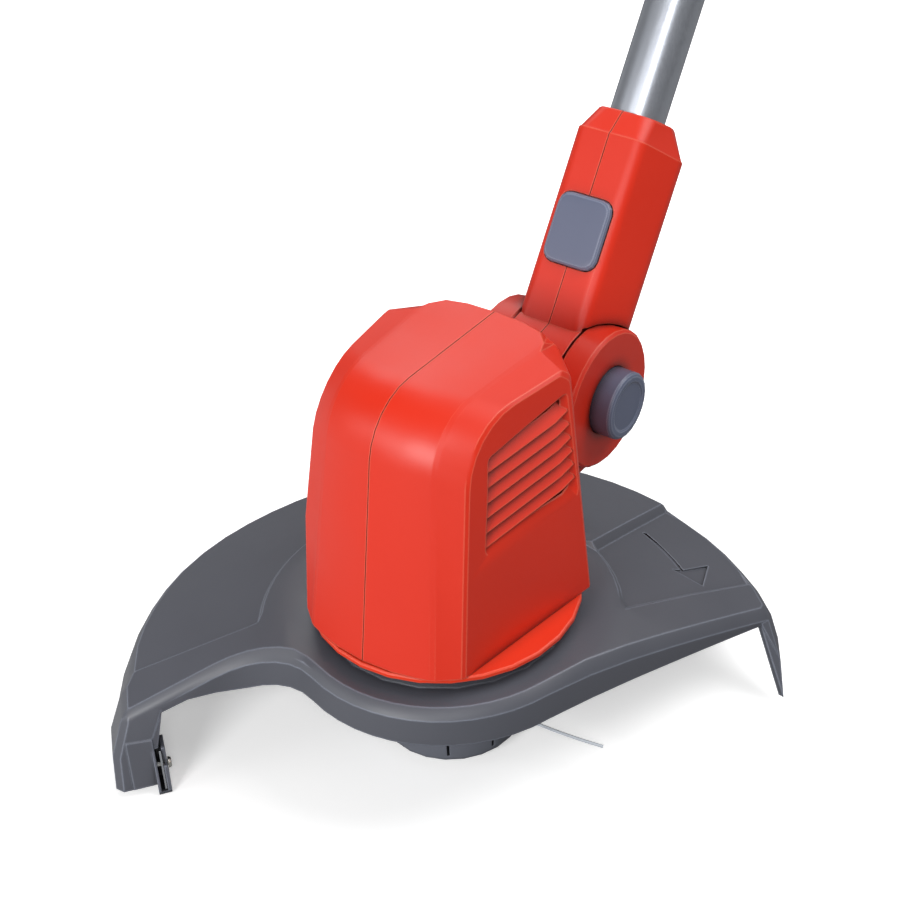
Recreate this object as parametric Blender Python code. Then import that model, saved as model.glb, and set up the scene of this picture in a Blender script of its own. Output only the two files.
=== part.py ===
"""Electric string trimmer, standing as it is held for mowing.

Units are metres, +Z is up, +Y points to the operator and -Y is the nose of the head.
The head is modelled in its own base: the spindle is the Z axis and the ground is z = 0.
The shaft is modelled upright in a second base, whose Z axis is then leaned to the shaft's
angle about the tilt hinge. The whole tool is shifted so that the rear grip is at the origin.
"""
import math
from math import cos, sin, pi, radians, hypot, atan2

import bmesh
import bpy
from mathutils import Vector
from mathutils.geometry import delaunay_2d_cdt

# Driving dimensions
GAP = 0.0003                  # running or seating clearance between pieces
SHAFT_ANGLE = radians(55.7)   # shaft above the horizontal
HINGE_Y = 0.0915              # tilt hinge behind the spindle
HINGE_Z = 0.143               # tilt hinge above the ground
GRIP_REACH = 0.915            # rear grip's middle, along the shaft from the tilt hinge

GUARD_RADIUS = 0.160          # outer wall of the guard
GUARD_WALL = 0.0028
GUARD_RIM = 0.0044            # slope between the guard's top and its skirt
BULGE_RADIUS = 0.0752         # the guard's front round the cutter head
GUARD_TOP = 0.0705            # height of the guard's top near the hub
GUARD_SLOPE = 0.41            # fall of the guard's top outside the bulge radius
SKIRT_DEPTH = 0.0184          # front skirt at the bulge
TIP_LEFT = radians(230.0)     # direction of the guard's left front edge

DISC_RADIUS = 0.0635          # red base disc between guard and motor housing
DISC_BOTTOM = 0.0777
DISC_THICKNESS = 0.0025

HOUSING_WALL = 0.0026
HOUSING_NOSE = 0.0620         # nose in front of the spindle
HOUSING_BACK = 0.053          # back wall behind the spindle
HOUSING_TOP = 0.205
HOUSING_LEAN = 0.162          # front wall's lean, run over rise

EAR_RADIUS = 0.034
EAR_INNER = 0.017             # inner face of an ear, from the middle plane
EAR_OUTER = 0.031
PIVOT_RADIUS = 0.0056
BUTTON_RADIUS = 0.0165        # round tilt button
BUTTON_PROUD = 0.0108
BUTTON_TRAVEL = 0.0035

TUBE_RADIUS = 0.0134          # lower aluminium tube
TUBE_WALL = 0.0012
SLEEVE_HALF_WIDTH = TUBE_RADIUS + 0.0133  # where the sleeve is widest
SLEEVE_FRONT_HALF = TUBE_RADIUS + 0.0038  # half width of its front face
SLEEVE_FRONT = TUBE_RADIUS + 0.0081
SLEEVE_BACK = TUBE_RADIUS + 0.0066
SLEEVE_TOP = 0.1288           # upper end of the sleeve, along the shaft from the hinge

SPOOL_RADIUS = 0.0355
SPINDLE_RADIUS = 0.0040
LINE_RADIUS = 0.0008
LINE_REACH = 0.080            # tip of the cutting line from the spindle

STATOR_RADIUS = 0.030
ARMATURE_RADIUS = 0.0182
BEARING_RADIUS = 0.011
BEARING_HEIGHT = 0.007

GRIP_HALF_WIDTH = 0.017


# Scene, materials and placing

def clear_scene():
    for old in list(bpy.data.objects):
        bpy.data.objects.remove(old, do_unlink=True)


def finish(name, color, roughness, metallic=0.0):
    material = bpy.data.materials.new(name)
    material.use_nodes = True
    shader = material.node_tree.nodes["Principled BSDF"]
    shader.inputs["Base Color"].default_value = (*color, 1.0)
    shader.inputs["Roughness"].default_value = roughness
    shader.inputs["Metallic"].default_value = metallic
    material.diffuse_color = (*color, 1.0)
    return material


def new_base(name, location, lean=0.0, parent=None):
    empty = bpy.data.objects.new(name, None)
    bpy.context.collection.objects.link(empty)
    empty.location = location
    empty.rotation_euler = (lean, 0.0, 0.0)
    empty.parent = parent
    return empty


def add_piece(name, bm, material, base, pivot=(0.0, 0.0, 0.0), smooth=32.0):
    """Make the object; its origin is at pivot, given like its points in the base's own frame."""
    bmesh.ops.remove_doubles(bm, verts=bm.verts, dist=1e-6)
    bmesh.ops.dissolve_degenerate(bm, dist=1e-6, edges=bm.edges)
    bmesh.ops.triangulate(bm, faces=[f for f in bm.faces if len(f.verts) > 4])
    bmesh.ops.recalc_face_normals(bm, faces=bm.faces)
    bmesh.ops.translate(bm, verts=bm.verts, vec=-Vector(pivot))
    mesh = bpy.data.meshes.new(name)
    bm.to_mesh(mesh)
    bm.free()
    mesh.materials.append(material)
    mesh.shade_smooth()
    mesh.set_sharp_from_angle(angle=radians(smooth))
    piece = bpy.data.objects.new(name, mesh)
    bpy.context.collection.objects.link(piece)
    piece.parent = base
    piece.location = pivot
    return piece


# Outlines

def arc(radius, start, end, steps, centre=(0.0, 0.0)):
    return [(centre[0] + radius * cos(start + (end - start) * i / steps),
             centre[1] + radius * sin(start + (end - start) * i / steps)) for i in range(steps + 1)]


def rounded(corners, steps=4):
    """Closed outline through (u, v, radius) corners, each turned by an arc of its radius.

    A fourth number in a corner is the count of its arc's steps.
    """
    outline = []
    count = len(corners)
    for i, corner in enumerate(corners):
        u, v, radius = corner[:3]
        turns = corner[3] if len(corner) > 3 else steps
        here = Vector((u, v))
        before = (Vector(corners[i - 1][:2]) - here).normalized()
        after = (Vector(corners[(i + 1) % count][:2]) - here).normalized()
        half = math.acos(max(-1.0, min(1.0, before.dot(after)))) / 2
        if radius < 1e-5 or half > 1.55:
            outline.append((u, v))
            continue
        reach = radius / math.tan(half)
        centre = here + (before + after).normalized() * (radius / sin(half))
        first = here + before * reach - centre
        last = here + after * reach - centre
        start = atan2(first.y, first.x)
        turn = (atan2(last.y, last.x) - start + pi) % (2 * pi) - pi
        outline += arc(radius, start, start + turn, turns, tuple(centre))
    return outline


def inset(outline, distance):
    """Move a closed counter-clockwise outline inwards by distance."""
    moved = []
    count = len(outline)
    for i, here in enumerate(outline):
        here = Vector(here)
        along = (here - Vector(outline[i - 1])).normalized()
        onward = (Vector(outline[(i + 1) % count]) - here).normalized()
        normal = Vector((-along.y - onward.y, along.x + onward.x)) / 2
        moved.append(tuple(here + normal * (distance / max(normal.length_squared, 0.3))))
    return moved


def inside(point, outline):
    u, v = point
    crossings = 0
    for (u0, v0), (u1, v1) in zip(outline, outline[1:] + outline[:1]):
        if (v0 > v) != (v1 > v) and u < u0 + (v - v0) / (v1 - v0) * (u1 - u0):
            crossings += 1
    return crossings % 2 == 1


# Solids

def turn_to(axis):
    """How a point (across, across, along) lies in space for a solid along the given axis."""
    places = {"X": lambda u, v, h: (h, u, v), "Y": lambda u, v, h: (u, h, v), "Z": lambda u, v, h: (u, v, h)}
    return places[axis]


def bridge(bm, lower, upper):
    count = max(len(lower), len(upper))
    for i in range(count):
        j = (i + 1) % count
        if len(lower) == 1:
            bm.faces.new((lower[0], upper[j], upper[i]))
        elif len(upper) == 1:
            bm.faces.new((lower[i], lower[j], upper[0]))
        else:
            bm.faces.new((lower[i], lower[j], upper[j], upper[i]))


def turned(profile, steps=32, centre=(0.0, 0.0), axis="Z"):
    """Revolve (radius, height) points; the profile is closed unless both its ends are on the axis."""
    bm = bmesh.new()
    place = turn_to(axis)
    rings = []
    for radius, height in profile:
        if radius < 1e-7:
            rings.append([bm.verts.new(place(*centre, height))])
        else:
            rings.append([bm.verts.new(place(centre[0] + radius * cos(2 * pi * i / steps),
                                             centre[1] + radius * sin(2 * pi * i / steps), height))
                          for i in range(steps)])
    if len(rings[0]) > 1 or len(rings[-1]) > 1:
        rings.append(rings[0])
    for lower, upper in zip(rings, rings[1:]):
        bridge(bm, lower, upper)
    bmesh.ops.recalc_face_normals(bm, faces=bm.faces)
    return bm


def disc(radius, low, high, steps=32, centre=(0.0, 0.0), axis="Z", chamfer=0.0):
    profile = [(0.0, low), (radius - chamfer, low), (radius, low + chamfer)]
    profile += [(radius, high - chamfer), (radius - chamfer, high), (0.0, high)]
    if chamfer < 1e-7:
        profile = [(0.0, low), (radius, low), (radius, high), (0.0, high)]
    return turned(profile, steps, centre, axis)


def ring(inner, outer, low, high, steps=32, centre=(0.0, 0.0), axis="Z"):
    return turned([(inner, low), (outer, low), (outer, high), (inner, high)], steps, centre, axis)


def loft(rings):
    """Skin through rings with equal counts of points, closed by a flat cap at each end."""
    bm = bmesh.new()
    loops = [[bm.verts.new(point) for point in points] for points in rings]
    for lower, upper in zip(loops, loops[1:]):
        bridge(bm, lower, upper)
    bm.faces.new(list(reversed(loops[0])))
    bm.faces.new(loops[-1])
    bmesh.ops.recalc_face_normals(bm, faces=bm.faces)
    return bm


def prism(outline, low, high, axis="Z"):
    place = turn_to(axis)
    return loft([[place(u, v, low) for u, v in outline], [place(u, v, high) for u, v in outline]])


def box(low, high):
    (x0, y0, z0), (x1, y1, z1) = low, high
    return prism([(x0, y0), (x1, y0), (x1, y1), (x0, y1)], z0, z1)


def sweep(points, radii, sides=8):
    """Round bar along a smooth path, its radius given at each point."""
    points = [Vector(p) for p in points]
    side = Vector((0.0, 0.0, 1.0))
    rings = []
    for i, (point, radius) in enumerate(zip(points, radii)):
        ahead = (points[min(i + 1, len(points) - 1)] - points[max(i - 1, 0)]).normalized()
        if abs(ahead.dot(side)) > 0.95:
            side = Vector((1.0, 0.0, 0.0))
        side = (side - ahead * ahead.dot(side)).normalized()
        across = ahead.cross(side)
        rings.append([point + radius * (cos(2 * pi * k / sides) * side + sin(2 * pi * k / sides) * across)
                      for k in range(sides)])
    return loft(rings)


def smooth_path(corners, steps=6):
    """Catmull-Rom curve through the corner points."""
    pts = [Vector(p) for p in corners]
    pts = [2 * pts[0] - pts[1]] + pts + [2 * pts[-1] - pts[-2]]
    path = []
    for a, b, c, d in zip(pts, pts[1:], pts[2:], pts[3:]):
        for i in range(steps):
            t = i / steps
            path.append(0.5 * (2 * b + (c - a) * t + (2 * a - 5 * b + 4 * c - d) * t * t
                               + (3 * b - a - 3 * c + d) * t ** 3))
    return path + [pts[-2]]


def mirrored(bm):
    twin = bm.copy()
    for vert in twin.verts:
        vert.co.x = -vert.co.x
    bmesh.ops.reverse_faces(twin, faces=twin.faces)
    return twin


def held(bm):
    """Object that carries a shape for a boolean step; the shape is used up."""
    bmesh.ops.triangulate(bm, faces=[f for f in bm.faces if len(f.verts) > 4])
    bmesh.ops.recalc_face_normals(bm, faces=bm.faces)
    mesh = bpy.data.meshes.new("shape")
    bm.to_mesh(mesh)
    bm.free()
    piece = bpy.data.objects.new("shape", mesh)
    bpy.context.collection.objects.link(piece)
    return piece


def combine(body, tools, operation="DIFFERENCE"):
    """Cut the tools from the body, or join them to it, one by one with exact booleans."""
    for tool in tools:
        blank = held(body)
        other = held(tool)
        step = blank.modifiers.new("step", "BOOLEAN")
        step.operation = operation
        step.object = other
        step.solver = "EXACT"
        bpy.context.view_layer.update()
        shape = blank.evaluated_get(bpy.context.evaluated_depsgraph_get())
        body = bmesh.new()
        body.from_mesh(shape.to_mesh())
        shape.to_mesh_clear()
        for used in (blank, other):
            bpy.data.objects.remove(used, do_unlink=True)
        bmesh.ops.remove_doubles(body, verts=body.verts, dist=2e-6)
        bmesh.ops.dissolve_limit(body, angle_limit=radians(0.3), verts=body.verts, edges=body.edges)
    return body


def fill(bm, outer, hole, height, lines=(), points=()):
    """Triangulate between two vertex loops over a height field, following the given lines."""
    flat = [vert.co.xy for vert in outer + hole]
    known = list(outer + hole)
    edges = [(i, (i + 1) % len(outer)) for i in range(len(outer))]
    if hole:
        first = len(outer)
        edges += [(first + i, first + (i + 1) % len(hole)) for i in range(len(hole))]
    for line in lines:
        start = len(flat)
        flat += [Vector(point) for point in line]
        edges += [(start + i, start + i + 1) for i in range(len(line) - 1)]
    flat += [Vector(point) for point in points]
    spots, _, faces, origins, _, _ = delaunay_2d_cdt(flat, edges, [], 0, 1e-7)
    verts = []
    for spot, origin in zip(spots, origins):
        source = [i for i in origin if i < len(known)]
        verts.append(known[source[0]] if source else bm.verts.new((spot.x, spot.y, height(spot.x, spot.y))))
    rim = [tuple(vert.co.xy) for vert in outer]
    bore = [tuple(vert.co.xy) for vert in hole]
    for face in faces:
        middle = sum((verts[i].co.xy for i in face), Vector((0.0, 0.0))) / 3
        if inside(middle, rim) and not (bore and inside(middle, bore)):
            bm.faces.new([verts[i] for i in face])


# Guard: a domed plastic shell round the back of the cutting circle, with a rounded skirt

LIP_DEPTH = 0.006             # outer wall below the rim, between the feet
PANEL_DEPTH = 0.0012
PANEL_INNER_LEFT = 0.087      # inner edges of the sunk panels
PANEL_INNER_RIGHT = 0.081
STEP_WIDTH = 0.0015
BAND_EDGE = 0.0545            # raised band along the right front edge: its inner line from the spindle
TAIL_HALF_WIDTH = 0.0329      # raised strip behind the housing, under the tilt joint
TAIL_TAPER = 0.077
TAIL_START = 0.073
TAIL_STEP = 0.0035
TAIL_RISE = 0.0025
PANEL_LEFT = radians(219.3)   # edge of the left panel
BAY_RADIUS = 0.045            # inner round between the left edge and the bulge
RIGHT_TANGENT = radians(343.0)
EDGE_BOW = 0.0015
RIM_CONVEX = 0.0004
RIM_DIP = 0.0079              # the outer wall is drawn in at the back left
RIM_DRAW = 0.0033             # and a little along the whole left side
FOOT_DEPTH = 0.0215           # left foot's front plate, inwards from the outer wall
FOOT_LEAN = 0.06              # the left foot leans forward by this angle round the spindle
FOOT_FLARE = 1.2              # widening of the skirt per metre of its depth
LEFT_FLARE = 1.9              # and of the left foot
COLLAR_RADIUS = 0.058
HUB_HOLE = 0.0245
RIGHT_FOOT_LEAN = -0.13       # the right foot leans back round the spindle
ARROW_DEPTH = 0.0009
ARROW_RADIUS = 0.1218
ARROW_WIDTH = 0.0016
SCREW_BEARINGS = (radians(45.0), radians(135.0), radians(225.0), radians(315.0))
SCREW_CIRCLE = 0.040
SCREW_RADIUS = 0.0020


def ramp(value, start, width):
    t = max(0.0, min(1.0, (value - start) / width))
    return t * t * (3 - 2 * t)


def rim_radius(bearing):
    """Outer wall of the guard in plan, at this bearing."""
    from_dip = (bearing - radians(155.0)) * (pi / 2) / radians(38.0)
    dip = RIM_DIP * cos(from_dip) ** 2 if abs(from_dip) < pi / 2 else 0.0
    drawn = RIM_DRAW * ramp(bearing, radians(45.0), radians(95.0))
    front = ramp(bearing, radians(220.0), radians(2.4))
    tuck = 0.002 * ramp(bearing, radians(208.0), radians(12.0)) * (1 - front)
    return GUARD_RADIUS - dip - drawn * (1 - 0.25 * front) - tuck


def tail_half(y):
    """Half width of the strip behind the housing; it narrows towards the back."""
    return TAIL_HALF_WIDTH - TAIL_TAPER * (y - TAIL_START)


def guard_height(x, y, panels=True):
    r = hypot(x, y)
    if r < COLLAR_RADIUS + 0.0005:
        return DISC_BOTTOM - GAP
    z = GUARD_TOP - GUARD_SLOPE * max(0.0, r - BULGE_RADIUS)
    if not panels:
        return z
    tail = 1 - ramp(abs(x), tail_half(y), TAIL_STEP) if y > 0 else 0.0
    z += TAIL_RISE * tail * ramp(r, 0.070, 0.010)
    left = x * -sin(PANEL_LEFT) + y * cos(PANEL_LEFT)
    front = BAND_EDGE - (x * cos(RIGHT_TANGENT) + y * sin(RIGHT_TANGENT))
    edge = -left if x < 0 else front
    inner = PANEL_INNER_LEFT if x < 0 else PANEL_INNER_RIGHT
    return z - PANEL_DEPTH * (1 - tail) * ramp(r, inner, STEP_WIDTH) * ramp(edge, 0.0, STEP_WIDTH)


def right_edge(reach):
    """Point on the slightly bowed right front edge, which leaves the bulge as its tangent."""
    full = math.sqrt(GUARD_RADIUS ** 2 - BULGE_RADIUS ** 2)
    out = BULGE_RADIUS + EDGE_BOW * sin(pi * reach / full)
    return (out * cos(RIGHT_TANGENT) - reach * sin(RIGHT_TANGENT),
            out * sin(RIGHT_TANGENT) + reach * cos(RIGHT_TANGENT))


def guard_outline():
    """Plan of the guard, counter-clockwise from the right tip round the back."""
    reach = math.sqrt(GUARD_RADIUS ** 2 - BULGE_RADIUS ** 2)
    tip_right = atan2(right_edge(reach)[1], right_edge(reach)[0])
    margin = 0.0035 / GUARD_RADIUS
    steps = 32
    sweep_angle = TIP_LEFT - tip_right - 2 * margin
    bearings = [tip_right + margin + sweep_angle * i / steps for i in range(steps + 1)]
    side = tail_half(0.156)
    for x in (side, side + TAIL_STEP):
        bearings += [math.acos(x / GUARD_RADIUS), math.acos(-x / GUARD_RADIUS)]
    bearings += [PANEL_LEFT, PANEL_LEFT - STEP_WIDTH / GUARD_RADIUS, radians(222.4)]
    bearings = sorted(bearings)
    bearings = [b for i, b in enumerate(bearings) if i == 0 or b - bearings[i - 1] > 0.006]
    plan = [(rim_radius(b) * cos(b), rim_radius(b) * sin(b)) for b in bearings]
    centre_r = BULGE_RADIUS + BAY_RADIUS
    swing = math.asin(BAY_RADIUS / centre_r)
    bay = (centre_r * cos(TIP_LEFT + swing), centre_r * sin(TIP_LEFT + swing))
    inner_r = centre_r * cos(swing)
    outer_r = rim_radius(TIP_LEFT) - 0.0035
    foot_r = GUARD_RADIUS - FOOT_DEPTH
    radii = [outer_r, 0.5 * (outer_r + foot_r), foot_r + 0.0005, foot_r - 0.0005, 0.125]
    plan += [(r * cos(TIP_LEFT), r * sin(TIP_LEFT)) for r in radii + [inner_r]]
    plan += arc(BAY_RADIUS, TIP_LEFT - pi / 2, TIP_LEFT + swing - pi, 7, bay)[1:]
    plan += arc(BULGE_RADIUS, TIP_LEFT + swing, RIGHT_TANGENT, 13)[1:]
    plan += [right_edge(reach * share) for share in (0.17, 0.34, 0.51, 0.68, 0.84)]
    plan += [right_edge(reach - 0.0085), right_edge(reach - 0.0035)]
    return plan


def skirt_depth(x, y, r):
    """Depth of the front skirt there; it gets shallower towards both tips."""
    if x < 0:
        return SKIRT_DEPTH - 0.0100 * ramp(r, 0.094, 0.036)
    return SKIRT_DEPTH - 0.150 * max(0.0, r - BULGE_RADIUS - 0.002)


def foot_drop(x, y):
    """Height of the skirt's lower edge there, and how far it leans forward as an angle."""
    r = hypot(x, y)
    bearing = atan2(y, x) % (2 * pi)
    top = guard_height(x, y, panels=False)
    if r > rim_radius(bearing) - 0.0030 and radians(30.0) < bearing < TIP_LEFT - 0.01:
        low = top - GUARD_RIM - LIP_DEPTH
        left = ramp(bearing, radians(205.0), radians(9.0))
        right = 1 - ramp(bearing, radians(44.0), radians(5.0))
        lean = FOOT_LEAN * left * ramp(bearing, radians(214.0), radians(14.0))
        return low * (1 - max(left, right)), lean + RIGHT_FOOT_LEAN * right
    if abs(bearing - TIP_LEFT) < 0.02 and r > GUARD_RADIUS - FOOT_DEPTH - 0.0002:
        return 0.0, FOOT_LEAN
    if x > 0 and y > 0 and r > GUARD_RADIUS - 0.0055:
        return 0.0, RIGHT_FOOT_LEAN
    return top - skirt_depth(x, y, r), 0.0


def guard_shape():
    bm = bmesh.new()
    plan = guard_outline()

    def loop(distance, height):
        return [bm.verts.new((x, y, height(x, y))) for x, y in inset(plan, distance)]

    def skirt_loop(distance, share):
        """Loop of the skirt's wall, at this share of the way down to its lower edge."""
        verts = []
        for (x, y), (u, v) in zip(plan, inset(plan, distance)):
            low, lean = foot_drop(x, y)
            top = guard_height(x, y, panels=False)
            rate = LEFT_FLARE if x < 0 and hypot(x, y) > 0.130 else FOOT_FLARE
            flare = rate * max(0.0, top - low - 0.011) * (1 - (1 - share) ** 2.6)
            lean *= share
            verts.append(bm.verts.new(((1 + flare) * (u * cos(lean) - v * sin(lean)),
                                       (1 + flare) * (u * sin(lean) + v * cos(lean)),
                                       low + (1 - share) * (top - GUARD_RIM - low))))
        return verts

    half = GUARD_RIM / 2 - RIM_CONVEX
    loops = [skirt_loop(GUARD_WALL, 1.0), skirt_loop(0.0, 1.0), skirt_loop(0.0, 0.5)]
    for distance, drop in ((0.0, GUARD_RIM), (half, half), (GUARD_RIM, 0.0)):
        loops.append(loop(distance, lambda x, y, d=drop: guard_height(x, y) - d))
    for lower, upper in zip(loops, loops[1:]):
        bridge(bm, lower, upper)
    under = loop(GUARD_WALL + 0.002, lambda x, y: guard_height(x, y, False) - GUARD_WALL - 0.0005)
    ledge = loop(GUARD_WALL, lambda x, y: guard_height(x, y, False) - GUARD_WALL - 0.003)
    bridge(bm, under, ledge)
    bridge(bm, ledge, loops[0])

    plate = DISC_BOTTOM - GAP
    bore_top = [bm.verts.new((*p, plate)) for p in arc(HUB_HOLE, 0, 2 * pi, 18)[:-1]]
    bore_under = [bm.verts.new((*p, plate - GUARD_WALL)) for p in arc(HUB_HOLE, 0, 2 * pi, 18)[:-1]]
    bridge(bm, bore_under, bore_top)

    def circle(r, steps=22):
        return arc(r, 0, 2 * pi, steps)

    lines = [circle(COLLAR_RADIUS), circle(COLLAR_RADIUS + 0.001)]
    edge_of_top = GUARD_RIM + 0.0015
    forward = Vector((sin(PANEL_LEFT), -cos(PANEL_LEFT)))
    ray = Vector((cos(PANEL_LEFT), sin(PANEL_LEFT)))
    normal = Vector((cos(RIGHT_TANGENT), sin(RIGHT_TANGENT)))
    along = Vector((-sin(RIGHT_TANGENT), cos(RIGHT_TANGENT)))
    for side in (0.0, STEP_WIDTH):
        # left panel: along its radial front edge, round the corner and along the hub
        inner = PANEL_INNER_LEFT + side
        turn = 0.006 - side
        far = rim_radius(PANEL_LEFT) - edge_of_top
        edge = [tuple(ray * r + forward * side) for r in (far, 0.124, inner + turn)]
        corner = tuple(ray * (inner + 0.3 * turn) + forward * (side + 0.3 * turn))
        stop = math.acos(-(tail_half(inner) + TAIL_STEP) / inner)
        lines.append(edge + [corner] + arc(inner, PANEL_LEFT - turn / inner, stop + 0.03, 18))
        # right panel: along the band and along the hub
        inner = PANEL_INNER_RIGHT + side
        offset = BAND_EDGE - side
        far = math.sqrt((GUARD_RADIUS - edge_of_top) ** 2 - offset ** 2)
        near = math.sqrt(inner ** 2 - offset ** 2)
        length = far - near - turn
        edge = [tuple(normal * offset + along * (near + turn + length * k / 2)) for k in (2, 1, 0)]
        meet = normal * offset + along * near
        bearing = atan2(meet.y, meet.x)
        corner = tuple(meet * (1 + 0.35 * turn / inner) + (along - normal) * 0.2 * turn)
        stop = math.acos((tail_half(inner) + TAIL_STEP) / inner)
        lines.append(edge + [corner] + arc(inner, bearing + turn / inner, stop - 0.03, 4))
    for side in (0.0, TAIL_STEP):
        # strip behind the housing
        for sign in (-1, 1):
            ends = [(sign * (tail_half(y) + side), y) for y in (0.0745, 0.088, 0.110, 0.132)]
            x = sign * (tail_half(0.152) + side)
            lines.append(ends + [(x, math.sqrt((GUARD_RADIUS - edge_of_top) ** 2 - x * x) - 0.001)])
    dots = []
    for r, steps in ((0.0752, 26), (0.098, 18), (0.121, 20), (0.139, 24)):
        dots += [(r * cos(2 * pi * i / steps), r * sin(2 * pi * i / steps)) for i in range(steps)]
    on_lines = [point for line in lines for point in line]
    dots = [d for d in dots if min(hypot(d[0] - p[0], d[1] - p[1]) for p in on_lines) > 0.004]
    top_rim = [tuple(v.co.xy) for v in loops[-1]]
    dots = [d for d in dots if inside(d, inset(top_rim, 0.003))]
    fill(bm, loops[-1], bore_top, guard_height, lines, dots)

    def underside(x, y):
        if hypot(x, y) < COLLAR_RADIUS - GUARD_WALL - 0.0005:
            return plate - GUARD_WALL
        return GUARD_TOP - GUARD_SLOPE * max(0.0, hypot(x, y) - BULGE_RADIUS) - GUARD_WALL - 0.0005

    below = []
    for r, steps in ((0.0752, 20), (0.120, 18)):
        below += [(r * cos(2 * pi * i / steps), r * sin(2 * pi * i / steps)) for i in range(steps)]
    under_rim = [tuple(v.co.xy) for v in under]
    below = [d for d in below if inside(d, inset(under_rim, 0.003))]
    step = [circle(COLLAR_RADIUS - GUARD_WALL), circle(COLLAR_RADIUS - GUARD_WALL - 0.001)]
    fill(bm, under, bore_under, underside, step, below)
    holes = [disc(SCREW_RADIUS + GAP, 0.06, 0.09, 8, screw_spot(b)) for b in SCREW_BEARINGS]
    bm = combine(bm, [arrow_groove()] + holes)
    return cutter_seat(bm)


def arrow_groove():
    """Cutter for the sunk arrow that shows which way the line turns."""
    shaft = arc(ARROW_RADIUS + ARROW_WIDTH / 2, radians(72.0), radians(56.0), 4)
    shaft_back = arc(ARROW_RADIUS - ARROW_WIDTH / 2, radians(56.0), radians(72.0), 4)
    outline = shaft + [(0.0732, 0.1183), (0.0811, 0.0988), (0.0653, 0.0968)] + shaft_back

    def level(height):
        return [(x, y, guard_height(x, y) + height) for x, y in outline]
    return loft([level(-ARROW_DEPTH), level(0.004)])


def screw_spot(bearing):
    return (SCREW_CIRCLE * cos(bearing), SCREW_CIRCLE * sin(bearing))


def base_disc_shape():
    """Red disc with a hub cup for the lower bearing."""
    top = DISC_BOTTOM + DISC_THICKNESS
    cup = BEARING_RADIUS + GAP
    seat = top + 0.001
    shape = turned([(SPINDLE_RADIUS + 0.002, DISC_BOTTOM), (DISC_RADIUS, DISC_BOTTOM),
                    (DISC_RADIUS, top - 0.0006), (DISC_RADIUS - 0.0006, top),
                    (cup + 0.003, top), (cup + 0.0025, seat + BEARING_HEIGHT), (cup, seat + BEARING_HEIGHT),
                    (cup, seat), (SPINDLE_RADIUS + 0.002, seat)], 28)
    holes = [disc(SCREW_RADIUS + GAP, 0.06, 0.1, 8, screw_spot(b)) for b in SCREW_BEARINGS]
    return combine(shape, holes)


def screw_shape(bearing):
    """Screw up through the guard's collar and the disc into the motor housing's floor."""
    low = DISC_BOTTOM - GAP - GUARD_WALL - GAP
    high = HOUSING_BOTTOM + HOUSING_WALL + 0.003
    profile = [(0.0, low - 0.0024), (0.003, low - 0.0024), (0.0040, low - 0.0014), (0.0040, low),
               (SCREW_RADIUS, low), (SCREW_RADIUS, high - 0.001), (SCREW_RADIUS - 0.001, high), (0.0, high)]
    return turned(profile, 8, screw_spot(bearing))


# Line cutter: a steel plate in the left foot that trims the line to length

HOLDER_INNER = GUARD_RADIUS - 0.0204  # the holder's channel, measured outwards from the spindle
HOLDER_OUTER = HOLDER_INNER + 0.0062
HOLDER_TOP = 0.018
HOLDER_LOW = -0.0034
PLATE_INNER = HOLDER_OUTER - 0.0012   # the raised plate beside it
PLATE_OUTER = GUARD_RADIUS - 0.0030
BLADE_INNER = HOLDER_INNER + 0.0020
BLADE_THICKNESS = 0.0010
BLADE_GAP = 0.0002
BLADE_LOW = -0.0020
BLADE_TOP = 0.0172
CUTTER_SCREW = 0.0015
CUTTER_SPOT = (-0.0052, 0.0062)  # ahead of the foot's face, and above the ground


def foot_face(r, z):
    """How far the left foot's face stands ahead of the plane through the spindle, at radius r."""
    start = GUARD_TOP - GUARD_SLOPE * (r - BULGE_RADIUS) - GUARD_RIM
    return r * FOOT_LEAN * (1 - z / start)


def foot_point(r, ahead, z):
    """Point in the left foot, from its radius, its distance ahead of the face and its height."""
    t = foot_face(r, z) + ahead
    return (r * cos(TIP_LEFT) - t * sin(TIP_LEFT), r * sin(TIP_LEFT) + t * cos(TIP_LEFT), z)


def foot_block(inner, outer, outline):
    """Solid between two radii over an outline of (ahead of the face, height) points."""
    return loft([[foot_point(r, ahead, z) for ahead, z in outline] for r in (inner, outer)])


def cutter_seat(guard):
    """Add the raised plate and the cutter's channel to the left foot."""
    plate = foot_block(PLATE_INNER, PLATE_OUTER,
                       [(-0.0012, 0.0004), (0.0008, 0.0004), (0.0008, 0.0240), (-0.0012, 0.0245)])
    holder = foot_block(HOLDER_INNER, HOLDER_OUTER,
                        [(-0.0095, HOLDER_LOW), (0.0030, HOLDER_LOW), (0.0034, -0.0020),
                         (0.0009, HOLDER_TOP), (-0.0095, HOLDER_TOP)])
    guard = combine(guard, [plate], "UNION")
    guard = combine(guard, [holder], "UNION")
    low, high = BLADE_LOW - BLADE_GAP, HOLDER_TOP + 0.0006
    channel = foot_block(BLADE_INNER - BLADE_GAP, HOLDER_OUTER - 0.0013,
                         [(-0.0082, low), (0.0200, low), (0.0200, high), (-0.0082, high)])
    low, high = 0.0100, HOLDER_TOP + 0.0010
    opening = foot_block(HOLDER_INNER - 0.0010, BLADE_INNER,
                         [(-0.0005, low), (0.0200, low), (0.0200, high), (-0.0005, high)])
    return combine(guard, [channel, opening, cutter_bore(CUTTER_SCREW + GAP)])


def blade_shape():
    """Upright plate across the channel, ground to an edge in front."""
    outline = [(-0.0080, BLADE_LOW), (0.0020, BLADE_LOW), (0.0004, BLADE_TOP), (-0.0080, BLADE_TOP)]
    plate = foot_block(BLADE_INNER, BLADE_INNER + BLADE_THICKNESS, outline)
    return combine(plate, [cutter_bore(CUTTER_SCREW + GAP)])


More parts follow.
